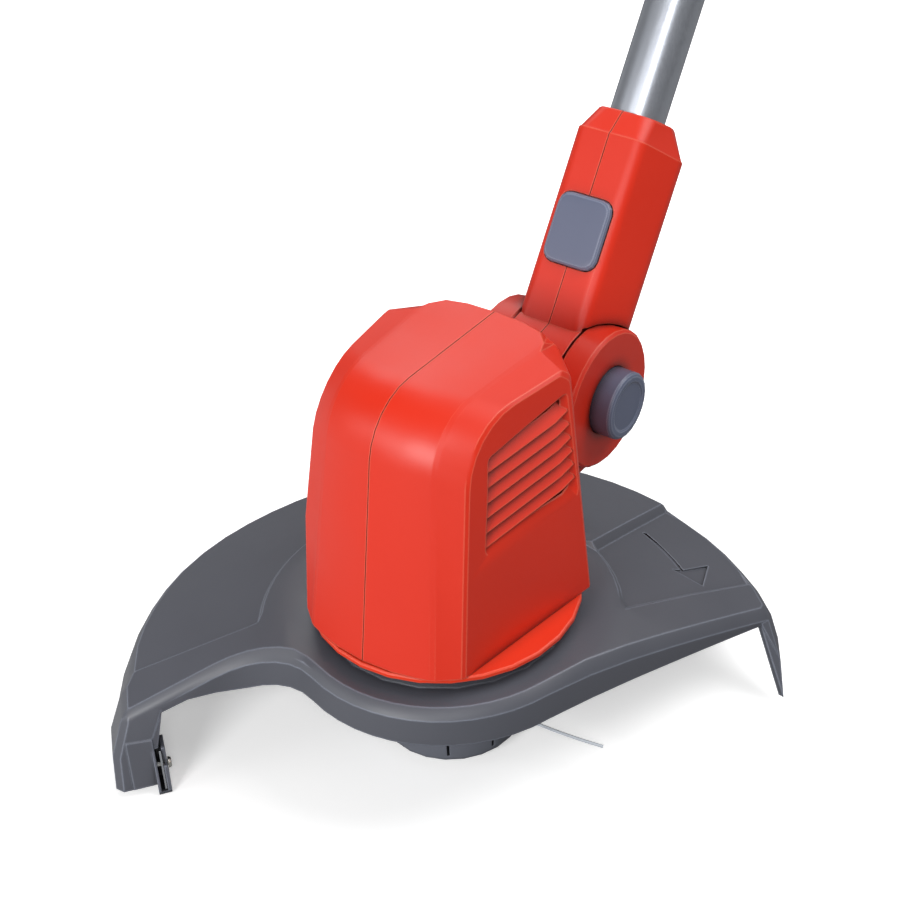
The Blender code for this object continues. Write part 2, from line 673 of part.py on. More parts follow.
def cutter_turned(profile):
    """Turned shape whose height runs outwards from the spindle, through the cutter screw's spot."""
    ahead, z = CUTTER_SPOT
    bm = turned(profile, 10)
    for vert in bm.verts:
        u, v, r = vert.co
        t = foot_face(BLADE_INNER, z) + ahead + u
        vert.co = (r * cos(TIP_LEFT) - t * sin(TIP_LEFT), r * sin(TIP_LEFT) + t * cos(TIP_LEFT), z + v)
    bmesh.ops.recalc_face_normals(bm, faces=bm.faces)
    return bm


def cutter_bore(radius):
    low, high = HOLDER_INNER - 0.0036, HOLDER_OUTER - 0.0004
    return cutter_turned([(0.0, low), (radius, low), (radius, high), (0.0, high)])


def cutter_screw_shape():
    """Screw from the inner side through the channel's wall and the blade."""
    head, end = HOLDER_INNER - GAP, HOLDER_OUTER - 0.0008
    return cutter_turned([(0.0, head - 0.0016), (0.0022, head - 0.0016), (0.0028, head - 0.0006),
                          (0.0028, head), (CUTTER_SCREW, head), (CUTTER_SCREW, end), (0.0, end)])


# Motor housing: two moulded halves that meet at the middle plane and carry the hinge ears

CROWN_FRONT = 0.0064          # how far the panels fall away from the middle plane to the crease
CROWN_TOP = 0.002
CROWN_BACK = 0.0065
CHAMFER_FRONT = 0.0087        # and from the crease to the side face
CHAMFER_TOP = 0.0035
CHAMFER_BACK = 0.0100
TOP_PANEL_BACK = 0.046        # the top panel ends in a tongue with rounded corners
TOP_PANEL_HALF = 0.031
TOP_PANEL_ROUND = 0.013
SHOULDER_FALL = 0.0068        # from the roof down to the back wall's upper edge
SIDE_LEAN = 0.070             # the side faces lean inwards
REAR_LEAN = 0.025             # their rear edges lean forward
BOW_SHIFT = 1.28              # and their ends move forward where the faces bulge
HOUSING_BOTTOM = DISC_BOTTOM + DISC_THICKNESS + GAP
NECK_TOP = 0.019              # the neck of an ear, above and in front of the tilt hinge
NECK_BACK = 0.026
BARREL_RADIUS = 0.0336        # the sleeve's hinge barrel between the ears
DISC_HOLE = 0.020             # hole in the housing's floor round the lower bearing
BOSS_LOW = 0.1865             # lower end of the upper bearing's boss


def crease_half(y, z):
    """Half width at the crease between the front and top panel and the chamfer band."""
    return 0.034 + 0.06 * (y + 0.055) - 0.06 * (z - 0.080)


def side_bow(z):
    """How far the side face bulges out at this height."""
    rise = z - HOUSING_BOTTOM
    return 0.0844 * rise - 0.703 * rise * rise


def side_half(y, z):
    """Half width at the side face."""
    return 0.0447 + 0.146 * (y + 0.0464) - SIDE_LEAN * (z - HOUSING_BOTTOM) + side_bow(z)


def panel_end(share):
    """Where the top panel ends behind, at this share of its half width."""
    out = share * TOP_PANEL_HALF - (TOP_PANEL_HALF - TOP_PANEL_ROUND)
    start = TOP_PANEL_BACK - TOP_PANEL_ROUND
    if out <= 0.0:
        return TOP_PANEL_BACK
    return start + math.sqrt(max(0.0, TOP_PANEL_ROUND ** 2 - out ** 2))


def housing_ring(wall, front, top, back, end, edge, across):
    """Side outline of the housing, moved inwards by the amounts, at half width across(y, z).

    The share called edge is 0 up to the crease and 1 at the side face, whose ends lean.
    """
    roof = HOUSING_TOP - top - wall
    base = HOUSING_BOTTOM + wall
    nose = -HOUSING_NOSE + front + wall
    lean = HOUSING_LEAN * (roof - base)
    rear = HOUSING_BACK - back - wall
    shoulder = min(HOUSING_TOP - SHOULDER_FALL - wall * 0.7, roof - 0.0015) - 0.003 * edge
    high = rear - REAR_LEAN * edge * (shoulder - base)
    end = min(end, high - 0.0014) - 0.004 * edge
    corners = [(nose, base, 0.0), (rear, base, 0.0), ((rear + high) / 2, (base + shoulder) / 2, 0.0),
               (high, shoulder, 0.0028 + 0.0022 * edge, 2), (end, roof, 0.0012 + 0.0010 * edge, 1),
               (nose + lean, roof, 0.030, 6), (nose + lean * 0.42, base + 0.42 * (roof - base), 0.0)]
    points = []
    for y, z in rounded(corners):
        y -= BOW_SHIFT * edge * max(0.0, side_bow(z))
        points.append((max(GAP / 2, across(y, z)), y, z))
    return points


def housing_skin(wall):
    """Rings from the middle plane out to the side face, for a skin this far inside the outer one."""
    rings = []
    for share in (0.0, 0.45, 0.78, 0.96):
        sink = share * share
        rings.append(housing_ring(wall, CROWN_FRONT * sink, CROWN_TOP * sink, CROWN_BACK * sink,
                                  panel_end(share) - wall * 0.5, 0.0,
                                  lambda y, z, s=share: s * (crease_half(y, z) - wall * 0.6)))
    for share in (0.08, 0.92):
        def between(y, z, s=share):
            return (1 - s) * crease_half(y, z) + s * side_half(y, z) - wall
        rings.append(housing_ring(wall, CROWN_FRONT + CHAMFER_FRONT * share,
                                  CROWN_TOP + CHAMFER_TOP * share, CROWN_BACK + CHAMFER_BACK * share,
                                  panel_end(1.0) - wall * 0.5, share, between))
    rings.append(housing_ring(wall, CROWN_FRONT + CHAMFER_FRONT + 0.0012, CROWN_TOP + CHAMFER_TOP + 0.001,
                              CROWN_BACK + CHAMFER_BACK + 0.0012, panel_end(1.0) - wall * 0.5, 1.0,
                              lambda y, z: side_half(y, z) - wall))
    return rings


SLAT_COUNT = 6
SLAT_PITCH = 0.0068
SLAT_FIRST = 0.1431           # lowest slat's lower edge at y = 0
SLAT_RISE = 0.062             # the slats climb towards the back
SLAT_THICKNESS = 0.0012
SLAT_GAP = 0.0019             # open slit under each slat
SLAT_PROUD = 0.0004           # a slat's lower edge lies this far under the side face
SLAT_SUNK = 0.0040            # and its upper edge this far


def side_cutter(outline, depth, proud=0.012):
    """Solid over a (y, z) outline that reaches depth below the flat side face."""
    rings = [[(side_half(y, z) - depth, y, z) for y, z in outline],
             [(side_half(y, z) + proud, y, z) for y, z in outline]]
    return loft(rings)


def louvre_field(depth):
    """Corners of the louvred field in the side face; its bottom and rear end slope inwards."""
    low = SLAT_FIRST - 0.0072 + depth * 2.2
    top = SLAT_FIRST + SLAT_PITCH * SLAT_COUNT
    rear = 0.0301 - depth * 1.1
    return [(-0.0290, low + 0.0012, 0.002), (rear, low - 0.0010, 0.005),
            (rear - 0.0006, top + 0.0058 - depth * 0.6, 0.002), (-0.0205, top - 0.0017, 0.003)]


def louvre_opening():
    """Cutter for the field: sheer above and in front, sloped below and behind."""
    def level(depth, out):
        outline = rounded(louvre_field(depth), 2)
        return [(side_half(y, z) + out, y, z) for y, z in outline]
    floor = HOUSING_WALL + 0.0004
    return loft([level(floor, -floor - 0.003), level(floor, -floor), level(0.0, 0.0), level(0.0, 0.012)])


def slat(number):
    """One sloped slat from end to end of the field, held in the wall at both ends."""
    low = SLAT_FIRST + SLAT_PITCH * number
    high = low + SLAT_PITCH - SLAT_GAP
    front = -0.0288 + 0.185 * (low - SLAT_FIRST)
    rings = []
    for y in (front, 0.0205, 0.0286):
        rise = SLAT_RISE * y + 20.0 * max(0.0, y - 0.0195) ** 2
        rings.append([(side_half(y, z + rise) - depth, y, z + rise) for depth, z in
                      ((SLAT_PROUD, low), (SLAT_SUNK, high), (SLAT_SUNK + SLAT_THICKNESS, high - 0.0003),
                       (SLAT_PROUD + SLAT_THICKNESS, low - 0.0003))])
    return loft(rings)


def housing_half():
    outer = housing_skin(0.0)
    inner = housing_skin(HOUSING_WALL)
    bm = bmesh.new()
    outer_loops = [[bm.verts.new(p) for p in points] for points in outer]
    inner_loops = [[bm.verts.new(p) for p in points] for points in inner]
    for lower, upper in zip(outer_loops, outer_loops[1:]):
        bridge(bm, lower, upper)
    for lower, upper in zip(inner_loops, inner_loops[1:]):
        bridge(bm, upper, lower)
    bm.faces.new(outer_loops[-1])
    bm.faces.new(inner_loops[-1])
    bridge(bm, inner_loops[0], outer_loops[0])
    bmesh.ops.recalc_face_normals(bm, faces=bm.faces)

    # hinge ear with its neck to the back wall
    ear = disc(EAR_RADIUS, EAR_INNER, EAR_OUTER, 28, (HINGE_Y, HINGE_Z), "X", 0.0014)
    wall_y = HOUSING_BACK - CROWN_BACK - HOUSING_WALL - 0.004
    neck_high = HINGE_Z + NECK_TOP
    neck = prism([(wall_y, HINGE_Z - 0.031), (HINGE_Y - 0.012, HINGE_Z - EAR_RADIUS + 0.0030),
                  (HINGE_Y, HINGE_Z), (HINGE_Y - NECK_BACK, neck_high), (wall_y, neck_high)],
                 EAR_INNER, EAR_OUTER - 0.003, "X")
    # bridge between the ears in front of the barrel, and the upper bearing's boss
    web = box((GAP / 2, HOUSING_BACK - 0.006, HINGE_Z - 0.024),
              (EAR_INNER + 0.004, HINGE_Y - BARREL_RADIUS - 0.0012, HINGE_Z + 0.012))
    boss_high = HOUSING_TOP - HOUSING_WALL / 2 - 0.0008
    boss = ring(BEARING_RADIUS + GAP, BEARING_RADIUS + 0.003, BOSS_LOW, boss_high, 16)
    trim = box((-0.1, -0.1, 0.0), (GAP / 2, 0.1, 0.3))
    boss = combine(boss, [trim])
    bm = combine(bm, [louvre_opening()])
    for number in range(SLAT_COUNT):
        bm = combine(bm, [slat(number)], "UNION")
    bm = combine(bm, [neck, ear, web, boss] + stator_ribs(), "UNION")
    cuts = [disc(PIVOT_RADIUS + GAP, 0.0, 0.05, 12, (HINGE_Y, HINGE_Z), "X"),
            disc(BUTTON_RADIUS + GAP, POCKET_FLOOR, 0.05, 20, (HINGE_Y, HINGE_Z), "X"),
            disc(DISC_HOLE, 0.05, HOUSING_BOTTOM + HOUSING_WALL + 0.004, 18)]
    for bearing in (radians(45.0), radians(-45.0)):
        cuts.append(disc(SCREW_RADIUS + GAP, 0.07, 0.09, 8, screw_spot(bearing)))
    return combine(bm, cuts)


def stator_ribs():
    """Fins on the side wall that hold the stator."""
    ribs = []
    low, high = STATOR_LOW + 0.008, STATOR_LOW + 0.024
    for y in (-0.014, 0.014):
        near = math.sqrt((STATOR_RADIUS + GAP) ** 2 - (abs(y) - 0.0015) ** 2)
        reach = side_half(y, low) - HOUSING_WALL + 0.0006
        ribs.append(box((near, y - 0.0015, low), (reach, y + 0.0015, high)))
    return ribs


# Motor and spindle

STATOR_LOW = 0.112
STATOR_HIGH = 0.160
COMMUTATOR = 0.0105
SPINDLE_TOP = 0.2000
UPPER_BEARING = 0.1925
LOWER_BEARING = DISC_BOTTOM + DISC_THICKNESS + 0.001 + GAP
DRIVE_LOW = 0.018
FAN_RADIUS = 0.034
FAN_LOW = 0.0925
FAN_BLADES = 7


def stator_shape():
    return ring(ARMATURE_RADIUS + 0.0006, STATOR_RADIUS, STATOR_LOW, STATOR_HIGH, 28)


def coil_shape(low, high):
    bore = ARMATURE_RADIUS + 0.0016
    outer = STATOR_RADIUS - 0.002
    mid = (low + high) / 2
    return turned([(bore, low), (outer - 0.002, low), (outer, mid), (outer - 0.002, high), (bore, high)], 20)


def armature_shape():
    """Spindle with the wound core and the commutator pressed on."""
    r = SPINDLE_RADIUS
    low = DRIVE_LOW
    high = STATOR_HIGH
    profile = [(0.0, low), (r, low), (r, STATOR_LOW - 0.004), (r + 0.006, STATOR_LOW - 0.003),
               (ARMATURE_RADIUS - 0.003, STATOR_LOW - 0.001), (ARMATURE_RADIUS, STATOR_LOW + 0.002),
               (ARMATURE_RADIUS, high - 0.002), (ARMATURE_RADIUS - 0.003, high + 0.001),
               (r + 0.006, high + 0.003), (r + 0.006, high + 0.006), (COMMUTATOR, high + 0.007),
               (COMMUTATOR, high + 0.020), (r, high + 0.021), (r, SPINDLE_TOP), (0.0, SPINDLE_TOP)]
    return turned(profile, 14)



def bearing_shape(low):
    return ring(SPINDLE_RADIUS + GAP, BEARING_RADIUS, low, low + BEARING_HEIGHT, 20)


def fan_shape():
    bore = SPINDLE_RADIUS + GAP
    plate = turned([(bore, FAN_LOW), (FAN_RADIUS, FAN_LOW), (FAN_RADIUS, FAN_LOW + 0.0015),
                    (0.010, FAN_LOW + 0.002), (0.010, FAN_LOW + 0.012), (bore, FAN_LOW + 0.012)], 18)
    blades = []
    for i in range(FAN_BLADES):
        a = 2 * pi * i / FAN_BLADES
        root = Vector((0.009 * cos(a), 0.009 * sin(a)))
        tip = Vector(((FAN_RADIUS - 0.001) * cos(a + 0.35), (FAN_RADIUS - 0.001) * sin(a + 0.35)))
        side = Vector((-(tip - root).y, (tip - root).x)).normalized() * 0.0007
        outline = [tuple(root - side), tuple(tip - side), tuple(tip + side), tuple(root + side)]
        blades.append(prism(outline, FAN_LOW + 0.001, FAN_LOW + 0.010))
    return combine(plate, blades, "UNION")


def brush_shape(side):
    """Carbon brush in its holder, one on each side of the commutator."""
    near = COMMUTATOR + GAP
    low = STATOR_HIGH + 0.0095
    x0, x1 = sorted((side * near, side * (near + 0.012)))
    return box((x0, -0.0035, low), (x1, 0.0035, low + 0.008))


# Cutter head: housing, spool with wound line, spring, cap and bump button

SPOOL_TOP = 0.046
CAP_HEIGHT = 0.012
SPOOL_WALL = 0.002
BUMP_RADIUS = 0.014
BUMP_PROUD = 0.004
SPOOL_CORE = 0.017
EYELET_HEIGHT = 0.018
EYELET_RADIUS = 0.0032


def spool_housing_shape():
    r = SPOOL_RADIUS
    w = SPOOL_WALL
    shape = turned([(SPINDLE_RADIUS + GAP, SPOOL_TOP - w), (r - w, SPOOL_TOP - w),
                    (r - w, CAP_HEIGHT), (r - 0.0005, CAP_HEIGHT), (r, CAP_HEIGHT + 0.0008),
                    (r, SPOOL_TOP - 0.003), (r - 0.003, SPOOL_TOP), (0.010, SPOOL_TOP),
                    (0.010, SPOOL_TOP + 0.006), (SPINDLE_RADIUS + GAP, SPOOL_TOP + 0.006)], 24)
    vanes = []
    for i in range(8):
        a = 2 * pi * (i + 0.5) / 8
        u, v = Vector((cos(a), sin(a))), Vector((-sin(a), cos(a))) * 0.0009
        near, far = u * 0.014, u * (r - 0.004)
        vanes.append(prism([tuple(near - v), tuple(far - v), tuple(far + v), tuple(near + v)],
                           SPOOL_TOP - 0.001, SPOOL_TOP + 0.004))
    shape = combine(shape, vanes, "UNION")
    return combine(shape, [disc(EYELET_RADIUS + GAP, SPOOL_RADIUS - 0.006, SPOOL_RADIUS + 0.004, 14,
                                (0.0, EYELET_HEIGHT), "X")])



def eyelet_shape():
    """Steel bush that the line leaves through."""
    bore = LINE_RADIUS + GAP
    low, high = SPOOL_RADIUS - 0.0035, SPOOL_RADIUS + 0.0012
    r = EYELET_RADIUS
    return turned([(bore, low), (r, low), (r, SPOOL_RADIUS + 0.0003), (r + 0.0010, SPOOL_RADIUS + 0.0006),
                   (r + 0.0006, high), (bore, high)], 14, (0.0, EYELET_HEIGHT), "X")


def line_shape():
    start = Vector((SPOOL_RADIUS - 0.0085, 0.0, EYELET_HEIGHT))
    bend = LINE_REACH - SPOOL_RADIUS
    points = [start + Vector((0.011 * i, 0.0, 0.0)) for i in range(2)]
    for i in range(1, 9):
        s = i / 8
        reach = start.x + 0.011 + (bend - 0.002) * s
        points.append(Vector((reach, 0.010 * s * s, EYELET_HEIGHT - 0.006 * s * s)))
    return sweep(points, [LINE_RADIUS] * len(points), 6)


def cap_shape():
    """Cover with its floor at the bottom, two latch tabs and the hole for the bump button."""
    r = SPOOL_RADIUS
    w = SPOOL_WALL
    hole = BUMP_RADIUS + GAP
    top = CAP_HEIGHT - GAP
    shape = turned([(hole, 0.0), (r - 0.0035, 0.0), (r - 0.0010, 0.0012), (r - 0.0003, 0.004),
                    (r - 0.0003, top), (r - w - 0.0003, top), (r - w - 0.0003, w), (hole, w)], 24)
    notches = []
    for side in (-1, 1):
        for edge in (-1, 1):
            a = side * pi / 2 + edge * 0.32 + 0.9
            u, v = Vector((cos(a), sin(a))), Vector((-sin(a), cos(a))) * 0.0006
            near, far = u * (r - 0.006), u * (r + 0.004)
            outline = [tuple(near - v), tuple(far - v), tuple(far + v), tuple(near + v)]
            notches.append(prism(outline, 0.0045, CAP_HEIGHT + 0.001))
    return combine(shape, notches)


def spool_shape():
    """Spool of two flanges, with the bump button moulded to its lower end."""
    core = SPOOL_CORE
    flange = SPOOL_RADIUS - SPOOL_WALL - 0.0012
    low = SPOOL_WALL + GAP
    profile = [(0.0, -BUMP_PROUD), (BUMP_RADIUS - 0.004, -BUMP_PROUD), (BUMP_RADIUS, -BUMP_PROUD + 0.003),
               (BUMP_RADIUS, low), (flange, low), (flange, low + 0.0015), (core, low + 0.0015),
               (core, low + 0.0265), (flange, low + 0.0265), (flange, low + 0.028),
               (core - 0.004, low + 0.028), (core - 0.004, low + 0.010), (0.0, low + 0.010)]
    return turned(profile, 20)


def wound_line_shape():
    """The line's outer layer, ribbed by its turns."""
    low = SPOOL_WALL + 2 * GAP + 0.0015
    inner = SPOOL_CORE + 2 * GAP
    outer = SPOOL_RADIUS - SPOOL_WALL - 0.007
    turns = 4
    pitch = 0.0244 / turns
    profile = [(inner, low)]
    for i in range(turns):
        profile += [(outer - 0.0006, low + pitch * i), (outer, low + pitch * (i + 0.5))]
    profile += [(outer - 0.0006, low + pitch * turns), (inner, low + pitch * turns)]
    return turned(profile, 16)


def coil_spring(radius, wire, low, high, turns, axis="Z", centre=(0.0, 0.0), steps=8):
    place = turn_to(axis)
    points = []
    total = turns * steps
    for i in range(total + 1):
        a = 2 * pi * i / steps
        points.append(place(centre[0] + radius * cos(a), centre[1] + radius * sin(a),
                            low + wire + (high - low - 2 * wire) * i / total))
    return sweep(points, [wire] * len(points), 4)


# Tilt hinge hardware

BOLT_HEAD = 0.0040
SPRING_RADIUS = 0.0105
SPRING_WIRE = 0.0008
POCKET_FLOOR = 0.0215


def tilt_button_shape():
    face = EAR_OUTER + BUTTON_PROUD
    rim = POCKET_FLOOR + BUTTON_TRAVEL + 0.0005
    wall = 0.0022
    r = BUTTON_RADIUS
    profile = [(0.0, face - 0.003), (r - wall, face - 0.003), (r - wall, rim), (r, rim), (r, face - 0.0016),
               (r - 0.0005, face - 0.0006), (r - 0.0018, face), (r - 0.0040, face),
               (r - 0.0048, face - 0.0006), (0.0, face - 0.0006)]
    return turned(profile, 24, (HINGE_Y, HINGE_Z), "X")


def pivot_bolt_shape():
    head = -POCKET_FLOOR - BOLT_HEAD
    seat = -POCKET_FLOOR - GAP
    end = POCKET_FLOOR + 0.001
    profile = [(0.0, head), (0.0085, head), (0.0090, head + 0.0008), (0.0090, seat),
               (PIVOT_RADIUS, seat), (PIVOT_RADIUS, end), (0.0, end + 0.0008)]
    return turned(profile, 14, (HINGE_Y, HINGE_Z), "X")


def pivot_cap_shape():
    """Plain plug in the left ear, over the bolt's head."""
    face = -EAR_OUTER - 0.0012
    seat = -POCKET_FLOOR - BOLT_HEAD - GAP
    profile = [(0.0, face), (BUTTON_RADIUS - 0.001, face), (BUTTON_RADIUS, face + 0.001),
               (BUTTON_RADIUS, seat), (0.0, seat)]
    return turned(profile, 24, (HINGE_Y, HINGE_Z), "X")


# Sleeve: two halves that hold the tube and end in the hinge barrel (upright shaft base)

COLLAR_START = 0.1160         # crease below the sleeve's cone, over the shaft's axis
COLLAR_SLOPE = -0.09
NECK_HALF = TUBE_RADIUS + 0.0036
NECK_FRONT = TUBE_RADIUS + 0.0024
NECK_REAR = TUBE_RADIUS + 0.0036
TUBE_FOOT = 0.044
KEY_LOW = 0.0535
KEY_HIGH = 0.0870
KEY_HALF = 0.0143
KEY_PROUD = 0.0025
KEY_TRAVEL = 0.0022
KEY_ROUND = 0.006


def sleeve_ring(shrink, along):
    """Section of half a sleeve: a flat front with rounded edges, sides that widen to the back."""
    front, back = SLEEVE_FRONT - shrink, SLEEVE_BACK - shrink
    outline = rounded([(GAP / 2, -front, 0.0), (SLEEVE_FRONT_HALF - shrink, -front, 0.0065, 5),
                       (SLEEVE_HALF_WIDTH - shrink, 0.007, 0.008, 3), (back - 0.001, back, 0.009, 3),
                       (GAP / 2, back, 0.0)])
    return [(x, y, along(y)) for x, y in outline]


def neck_ring(shrink, height):
    """Section of the sleeve's upper end, with as many points as the sleeve's."""
    half, front, back = NECK_HALF - shrink, NECK_FRONT - shrink, NECK_REAR - shrink
    outline = rounded([(GAP / 2, -front, 0.0), (half * 0.86, -front, 0.008, 5), (half, 0.004, 0.006, 3),
                       (half * 0.8, back, 0.007, 3), (GAP / 2, back, 0.0)])
    return [(x, y, height) for x, y in outline]


def sleeve_half():
    rings = [sleeve_ring(0.0, lambda y: 0.0),
             sleeve_ring(0.0, lambda y: COLLAR_START + COLLAR_SLOPE * y - 0.0008),
             sleeve_ring(0.0007, lambda y: COLLAR_START + COLLAR_SLOPE * y),
             neck_ring(0.0, SLEEVE_TOP - 0.0008), neck_ring(0.0008, SLEEVE_TOP)]
    body = loft(rings)
    clear = disc(EAR_RADIUS + 0.0006, EAR_INNER - GAP, 0.06, 32, (0.0, 0.0), "X")
    body = combine(body, [clear])
    barrel = disc(BARREL_RADIUS, GAP / 2, EAR_INNER - GAP, 28, (0.0, 0.0), "X")
    body = combine(body, [barrel], "UNION")
    half, low, high = KEY_HALF + GAP, KEY_LOW - GAP, KEY_HIGH + GAP
    key = rounded([(-half, low, KEY_ROUND), (half, low, KEY_ROUND),
                   (half, high, KEY_ROUND), (-half, high, KEY_ROUND)], 4)
    cuts = [disc(TUBE_RADIUS + GAP, TUBE_FOOT - GAP, 0.2, 28),
            disc(PIVOT_RADIUS + GAP, -0.01, 0.05, 12, (0.0, 0.0), "X"),
            prism(key, -0.05, -TUBE_RADIUS + 0.002, "Y")]
    return combine(body, cuts)


def sleeve_button_shape():
    """Flat push button with a broad rounded edge."""
    def face(shrink, height):
        turn = KEY_ROUND - GAP - shrink * 0.6
        half, low, high = KEY_HALF - shrink, KEY_LOW + shrink, KEY_HIGH - shrink
        outline = rounded([(-half, low, turn), (half, low, turn), (half, high, turn), (-half, high, turn)], 3)
        return [(x, height, z) for x, z in outline]
    top = -SLEEVE_FRONT - KEY_PROUD
    seat = -TUBE_RADIUS - KEY_TRAVEL - GAP
    return loft([face(0.0, seat), face(0.0, top + 0.0020), face(0.0005, top + 0.0009),
                 face(0.0014, top + 0.0002), face(0.0026, top)])


def tube_shape(outer, wall, low, high, steps=28):
    return ring(outer - wall, outer, low, high, steps)


# Upper shaft, clamp, guide handle and rear handle (upright shaft base)

UPPER_INNER = TUBE_RADIUS + GAP
UPPER_WALL = 0.0015
UPPER_OUTER = UPPER_INNER + UPPER_WALL
UPPER_HIGH = GRIP_REACH - 0.115
UPPER_LOW = UPPER_HIGH - 0.400
LOWER_TOP = UPPER_LOW + 0.240
CLAMP_LOW = UPPER_LOW - 0.016
CLAMP_HIGH = UPPER_LOW + 0.040
CLAMP_RADIUS = UPPER_OUTER + 0.0053
BRACKET_Z = UPPER_HIGH - 0.110
BRACKET_LENGTH = 0.036
PIVOT_OUT = UPPER_OUTER + 0.0148  # guide handle's pivot in front of the shaft's axis
LUG_HALF = 0.008
GUIDE_BOLT = 0.0030


def clamp_shape():
    """Twist collar that grips the lower tube, with finger flats."""
    outer = UPPER_OUTER
    r = CLAMP_RADIUS
    shape = turned([(TUBE_RADIUS + GAP, CLAMP_LOW), (r - 0.003, CLAMP_LOW), (r, CLAMP_LOW + 0.006),
                    (r, CLAMP_HIGH - 0.010), (r - 0.003, CLAMP_HIGH), (outer + GAP, CLAMP_HIGH),
                    (outer + GAP, UPPER_LOW - GAP), (TUBE_RADIUS + GAP, UPPER_LOW - GAP)], 20)
    flutes = []
    for i in range(8):
        a = 2 * pi * i / 8
        spot = ((r + 0.003) * cos(a), (r + 0.003) * sin(a))
        flutes.append(disc(0.0045, CLAMP_LOW + 0.009, CLAMP_HIGH - 0.013, 8, spot))
    return combine(shape, flutes)


def bracket_shape():
    outer = UPPER_OUTER + GAP
    low, high = BRACKET_Z - BRACKET_LENGTH / 2, BRACKET_Z + BRACKET_LENGTH / 2
    shape = turned([(outer, low), (outer + 0.0045, low), (outer + 0.006, low + 0.003),
                    (outer + 0.006, high - 0.003), (outer + 0.0045, high), (outer, high)], 20)
    near, far = -outer - 0.002, -PIVOT_OUT - 0.009
    lug = rounded([(far, BRACKET_Z - 0.009, 0.0085), (near, BRACKET_Z - 0.014, 0.0),
                   (near, BRACKET_Z + 0.014, 0.0), (far, BRACKET_Z + 0.009, 0.0085)], 5)
    shape = combine(shape, [prism(lug, -LUG_HALF, LUG_HALF, "X")], "UNION")
    return combine(shape, [disc(GUIDE_BOLT + GAP, -0.02, 0.02, 14, (-PIVOT_OUT, BRACKET_Z), "X")])


GUIDE_HALF = 0.058
GUIDE_HEIGHT = 0.115
GUIDE_RISE = radians(60.0)    # bow's plane, above the direction square to the shaft


def guide_handle_shape():
    """Bow handle: a round bar, thicker where it is held, closed on the bracket's lug."""
    out = Vector((0.0, -cos(GUIDE_RISE), sin(GUIDE_RISE)))
    pivot = Vector((0.0, -PIVOT_OUT, BRACKET_Z))
    side = LUG_HALF + GAP
    half = [(side, 0.0), (0.020, 0.003), (0.040, 0.020), (GUIDE_HALF, 0.050), (GUIDE_HALF - 0.002, 0.085),
            (0.040, GUIDE_HEIGHT - 0.004), (0.018, GUIDE_HEIGHT)]
    corners = [(x, h) for x, h in half] + [(-x, h) for x, h in reversed(half)]
    path = smooth_path([pivot + Vector((x, 0.0, 0.0)) + out * h for x, h in corners], 2)
    radii = []
    for point in path:
        reach = (point - pivot).dot(out)
        radii.append(0.0075 + 0.0055 * ramp(reach, 0.078, 0.022))
    bar = sweep(path, radii, 8)
    trim = [box((-side, -0.08, BRACKET_Z - 0.09), (side, -UPPER_OUTER - 0.0028, BRACKET_Z + 0.03)),
            disc(GUIDE_BOLT + GAP, -0.05, 0.05, 14, (-PIVOT_OUT, BRACKET_Z), "X")]
    return combine(bar, trim)


def guide_bolt_shape():
    reach = 0.0195
    profile = [(0.0, -reach), (GUIDE_BOLT, -reach), (GUIDE_BOLT, reach), (0.0, reach)]
    return turned(profile, 14, (-PIVOT_OUT, BRACKET_Z), "X")


GRIP = GRIP_REACH
CHEEK_RADIUS = UPPER_OUTER + 0.0063
CHEEK_LOW = GRIP - 0.143
HANDLE_OUTLINE = [(-CHEEK_RADIUS, CHEEK_LOW, 0.0075), (CHEEK_RADIUS, CHEEK_LOW, 0.0075),
                  (0.030, GRIP - 0.105, 0.020), (0.062, GRIP - 0.060, 0.018), (0.064, GRIP + 0.058, 0.022),
                  (0.030, GRIP + 0.096, 0.018), (-0.008, GRIP + 0.098, 0.014), (-0.0185, GRIP + 0.060, 0.020),
                  (-0.0185, GRIP - 0.030, 0.030), (-0.0255, GRIP - 0.075, 0.020)]
WINDOW_OUTLINE = [(0.0175, GRIP - 0.048, 0.010), (0.046, GRIP - 0.042, 0.012), (0.049, GRIP + 0.045, 0.014),
                  (0.030, GRIP + 0.066, 0.012), (0.0185, GRIP + 0.060, 0.006)]


def plate_with_window(outline, window, levels):
    """Half of a rounded handle moulding: levels are (x, inset) from the joint outwards."""
    bm = bmesh.new()
    outer = [[bm.verts.new((x, *p)) for p in inset(outline, shrink)] for x, shrink in levels]
    inner = [[bm.verts.new((x, *p)) for p in inset(window, -shrink)] for x, shrink in levels]
    for lower, upper in zip(outer, outer[1:]):
        bridge(bm, lower, upper)
    for lower, upper in zip(inner, inner[1:]):
        bridge(bm, upper, lower)
    for loops, flip in ((0, True), (-1, False)):
        rim, bore = outer[loops], inner[loops]
        flat = bmesh.new()
        flat_rim = [flat.verts.new((v.co.y, v.co.z, 0.0)) for v in rim]
        flat_bore = [flat.verts.new((v.co.y, v.co.z, 0.0)) for v in bore]
        fill(flat, flat_rim, flat_bore, lambda u, v: 0.0)
        match = dict(zip(flat_rim + flat_bore, rim + bore))
        for face in flat.faces:
            bm.faces.new([match[v] for v in face.verts])
        flat.free()
    bmesh.ops.recalc_face_normals(bm, faces=bm.faces)
    return bm


